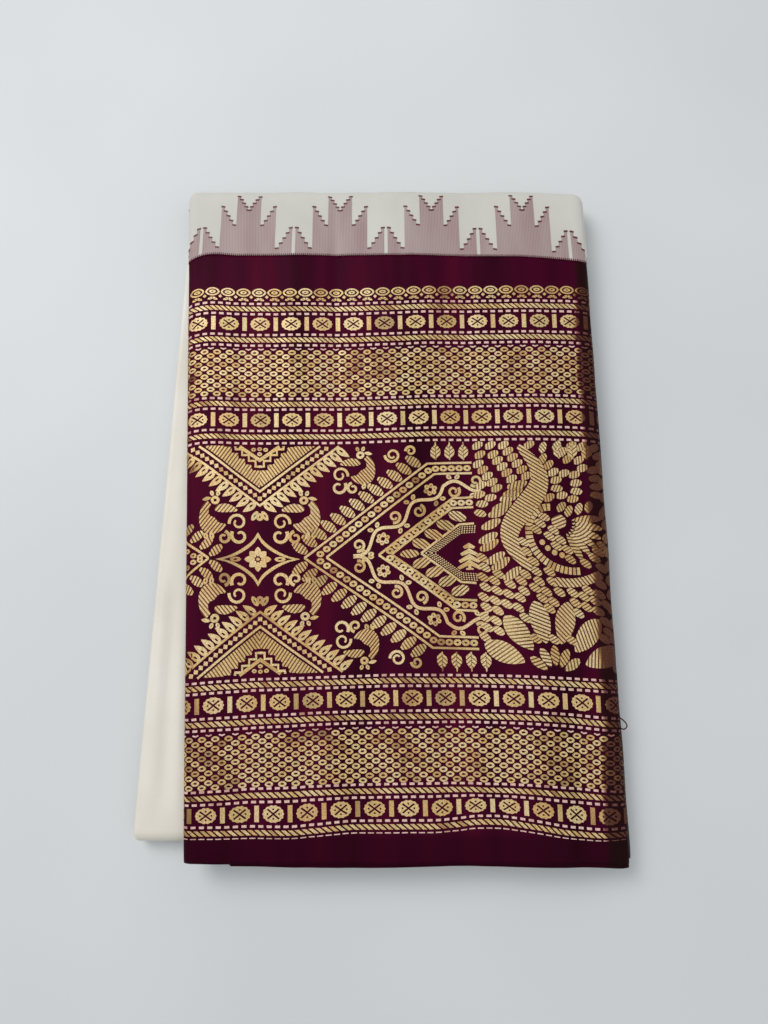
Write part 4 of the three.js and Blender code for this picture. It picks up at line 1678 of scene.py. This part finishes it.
def featherArcs(taken):
    # Small feathers in arcs wherever the cloth is still plain.
    size = plume["feather"]
    shapes, placed = [], []
    spots = []
    for arc in plume["arcs"]:
        for radius in arc["radii"]:
            for angle in np.arange(arc["from"], arc["to"], math.degrees(size["pitch"] / radius)):
                v = math.radians(angle)
                spots.append((arc["middle"][0] + radius * math.cos(v),
                              arc["middle"][1] + radius * math.sin(v), arc["turn"] + arc["follow"] * angle))
    area = plume["sprinkle"]
    for row, t in enumerate(np.arange(area["high"][1], area["low"][1], -area["step"][1])):
        turn = area["turn"][0] + area["turn"][1] * float(smooth(t, *area["between"]))
        first = area["low"][0] + area["step"][0] / 2 * (row % 2)
        spots += [(u, t, turn) for u in np.arange(first, area["high"][0], area["step"][0])]
    for u, t, turn in spots:
        spot = np.array([u, t])
        axis = np.array([math.cos(math.radians(turn)), math.sin(math.radians(turn))])
        away = np.array(placed).reshape(-1, 2) - spot
        along, across = away @ axis, away @ np.array([-axis[1], axis[0]])
        near = ((along / size["apart"][0]) ** 2 + (across / size["apart"][1]) ** 2 < 1).any()
        inside = plume["within"][0] < u < plume["within"][1] and t <= field["top"] - plume["topGap"]
        if near or not inside or not isClear(taken, spot, size["clear"]):
            continue
        placed.append(spot)
        half = size["half"] * axis
        shapes += petal(spot - half, spot + half, size["width"], turn + 64, 1.7, 0.66, blunt=0.45)
    return shapes


def plumeWork():
    # The plume with a row of leaves down its hollow side, then the disc, the wing and the lotus.
    s = np.linspace(0, 1, 26)
    stem = np.stack([mix(plume["from"][0], plume["to"][0], s) + plume["sway"] * np.sin(2 * math.pi * s),
                     mix(plume["from"][1], plume["to"][1], s)], -1)
    left, right, _ = ribbon(stem, plume["width"][0] + plume["width"][1] * np.sin(math.pi * s) ** 0.8)
    outlines = [(np.concatenate([left, right[::-1]]), -32), (ellipse(wing["disc"], 4.5, 4.3, 16), 24)]
    row = plume["leaves"]
    inner = left if left[13, 0] < right[13, 0] else right
    for along, turn in zip(np.linspace(row["from"], row["to"], row["count"]),
                           np.linspace(*row["turns"], row["count"])):
        v = math.radians(turn)
        base = inner[int(along * 25)] - (1.5, 0)
        outlines.append((leaf(base, base + row["size"] * np.array([math.cos(v), math.sin(v)]), row["width"],
                              0.4, 0.5, 13, 0.5), turn + 60))
    outlines += fan(wing["disc"], **wing["fan"])
    band = wing["band"]
    left, right, _ = ribbon(winding(wing["disc"], band["radii"], band["angles"]), band["width"])
    outlines.append((np.concatenate([left, right[::-1]]), -50))
    for tier in lotus["tiers"]:
        outlines += fan(lotus["middle"], **tier)
    shapes = []
    for number, (outline, angle) in enumerate(outlines):
        shapes += filled(outline, angle, glint=1.0 if number == 0 else None)
    ladder = winding(wing["disc"], wing["ladder"]["radii"], wing["ladder"]["angles"])
    strip = ribbon(ladder, wing["ladder"]["width"])
    lengths = lengthsOf(ladder)
    for at in np.arange(0.3, lengths[-1] - 1.8, wing["ladder"]["rung"]):
        spots = [np.array([np.interp(a, lengths, edge[:, 0]), np.interp(a, lengths, edge[:, 1])])
                 for a in (at, at + 1.8) for edge in (strip[0], strip[1])]
        shapes.append(([spots[0], spots[2]], [spots[1], spots[3]], False))
    beads = spaced(winding(wing["disc"], wing["beads"]["radii"], wing["beads"]["angles"]),
                   wing["beads"]["pitch"])
    shapes += [disc(spot, 1.75, 1.75, 8) for spot in beads]
    taken = [outline for outline, _ in outlines] + [np.concatenate([strip[0], strip[1][::-1]])]
    taken += [ellipse(spot, 2.0, 2.0, 8) for spot in beads]
    return shapes + featherArcs(taken)


rollPetals = {"count": 16, "first": 5.0, "pitch": 8.2, "across": (247.6, 256.0), "rise": (-2.0, 3.2),
              "width": 6.0}


def rollWork():
    # What turns over the right edge: petals that carry on down the roll.
    shapes = []
    for k in range(rollPetals["count"]):
        t = field["low"] + rollPetals["first"] + rollPetals["pitch"] * k
        base, tip = [(u, t + rise) for u, rise in zip(rollPetals["across"], rollPetals["rise"])]
        shapes += petal(base, tip, rollPetals["width"], 62)
    return shapes


def edgeWork():
    # What shows of the next repeat at the left edge, upper half: its chevron's arm and the petals along it.
    slope = chevrons["slope"]
    shapes = [ribbon(onHalf([(-4.0, 17.8 * slope), (13.8, 0)]), field["line"])]
    for k in range(4):
        u = 1.2 + chevrons["petalStep"] * k
        t = 18.2 - slope * u
        shapes += petal(*onHalf([(u - 3.6, t - 3.0), (u + 3.6, t + 3.0)]), 4.9, 118)
    for k in range(3):
        u = 0.8 + 3.9 * k
        shapes.append(ring(onHalf([(u, 5.4 - slope * u)])[0], 1.9, 1.6, (0.34, 0.3), 8))
    return shapes


def weaveField():
    middle = field["middle"]
    upper = halfDiamond() + chevronWork() + vineWork() + edgeWork()
    parrot = birdMotif()
    for center, facesRight, scale in bird["places"]:
        upper += moved(parrot, onHalf([center])[0], flipU=facesRight, scale=scale)
    for center, radius, turns in bird["beside"]:
        upper.append(curl(onHalf([center])[0], radius, math.pi, turns, 1.7))
    for k in range(3):
        upper += moved(sprigMotif(), (sprigs["upper"][0] + sprigs["upper"][1] * k,
                                      field["top"] - sprigs["upper"][2]))
    central = moved(starMotif(), onHalf([star["place"]])[0])
    central += moved(treeMotif(), onHalf([treePlace])[0])
    central += petal((127.0, middle), (138.4, middle), 5.0, 128)
    parts, seed = [], 100
    bead = motifObject("bead", diamondBead())
    for side in (-1, 1):
        edge = np.array(arms(halfV["outer"])[::side][1:], float)
        edge = [mix(edge[0], edge[1], s) for s in (0.05, 0.97 if side > 0 else 0.90)]
        count = int(lengthsOf(np.array(edge))[-1] / halfV["leafPitch"]) + 1
        leaves = motifObject("fringe", moved(fringeLeaf(), flipU=side > 0), 1.8)
        parts.append(alongLine(leaves, goldMaterial, edge if side < 0 else edge[::-1], count, seed))
        bpy.data.objects.remove(leaves)
        row = np.array(arms(halfV["beads"], past=2.0)[::side][1:], float)
        count = int(lengthsOf(row)[-1] / halfV["beadPitch"]) + 1
        parts.append(alongLine(bead, goldMaterial, row, count, seed + 1))
        seed += 2
    bpy.data.objects.remove(bead)
    flat, faces, tone = gather(parts)
    lowerFlat = flat.copy()
    lowerFlat[:, 1] = 2 * middle - flat[:, 1]
    both = gather([(flat, faces, tone), (lowerFlat, faces[:, ::-1], tone[::-1])])
    layOnCloth("zari_field_lines", *both, goldMaterial)
    # the lower edge's row of sprigs is one longer, and the upper edge has three more on the right
    single = moved(sprigMotif(), (sprigs["lower"][0], field["low"] + sprigs["lower"][1]), flipT=True)
    for k in range(3):
        single += moved(sprigMotif(), (sprigs["right"][0] + sprigs["right"][1] * k,
                                       field["top"] - sprigs["right"][2]))
    lower = moved(upper, (0, 2 * middle), flipT=True)
    weave("zari_field_left", upper + lower + central, goldMaterial, 7)
    weave("zari_field_right", plumeWork() + rollWork() + single, goldMaterial, 8)


def edgeThread():
    # The fold edges of the lower border plies carry the same woven rows, seen end on.
    material, shader = nodeMaterial("borderEdge", silk["maroonDeep"], 0.45)
    level = math2(material, "MULTIPLY", noiseAt(material, (0.3, 1, 1), 700),
                  noiseAt(material, (0.05, 1, 1), 170))
    # the darkest colour here is the painted shade of the right roll
    color = rampOf(material, level, [(0.20, silk["rollShade"]), (0.27, silk["edge"]), (0.36, silk["edgeGold"])])
    # plain maroon past the woven rows, near the hem and near the join, given the roll's painted shade colour
    place = clothAxis(material, "Y")
    low = math2(material, "LESS_THAN", place, (hemT + joinY + 20) * mm)
    high = math2(material, "GREATER_THAN", place, (joinY - 21) * mm)
    color = mixColor(material, math2(material, "MAXIMUM", low, high), color, silk["rollShade"])
    link(material, color, shader.inputs["Base Color"])
    return material


edgeMaterial = edgeThread()


def looseYarn():
    # A short loop of weft yarn that has worked loose at the right edge.
    loop = {"u": 249.2, "t": -280.5, "out": 7.6, "down": 8.5, "radius": 0.36}
    x, y, z = [float(v[0]) for v in frontSurface(np.array([loop["u"]]), np.array([loop["t"]]))]
    path = bent([(x - 1.5, y), (x + loop["out"] * 0.6, y - 2.6), (x + loop["out"], y - loop["down"] * 0.72),
                 (x + loop["out"] * 0.8, y - loop["down"]),
                 (x + loop["out"] * 0.35, y - loop["down"] * 0.86)], 6)
    heights = np.interp(np.linspace(0, 1, len(path)), [0, 0.4, 1], [z - 0.4, z - 3.0, z - 4.5])
    sides = 8
    points, faces = [], []
    for i, (px, py) in enumerate(path):
        a = path[min(i + 1, len(path) - 1)] - path[max(i - 1, 0)]
        a = a / np.linalg.norm(a)
        for k in range(sides):
            v = 2 * math.pi * k / sides
            points.append((px - a[1] * math.cos(v) * loop["radius"], py + a[0] * math.cos(v) * loop["radius"],
                           heights[i] + math.sin(v) * loop["radius"]))
    for i in range(len(path) - 1):
        for k in range(sides):
            j = (k + 1) % sides
            faces.append((i * sides + k, i * sides + j, (i + 1) * sides + j, (i + 1) * sides + k))
    faces.append(tuple(reversed(range(sides))))
    faces.append(tuple(range((len(path) - 1) * sides, len(path) * sides)))
    piece = makeMesh("loose_yarn", points, faces, maroonMaterial, [(0, 0)] * len(points))
    flipIfInside(piece)
    return piece


pieces = [borderFront(), borderSecond(), templeFold(), backCloth()]
print("plies made")
pieces += [borderLayers(), bodyLayers()]
print("hidden plies made")
weaveBands()
print("bands woven")
weaveTemples()
print("temples woven")
weaveField()
print("field woven")
pieces.append(looseYarn())
for piece in pieces + woven:
    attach(piece, "root")
    print(piece.name, len(piece.data.polygons))
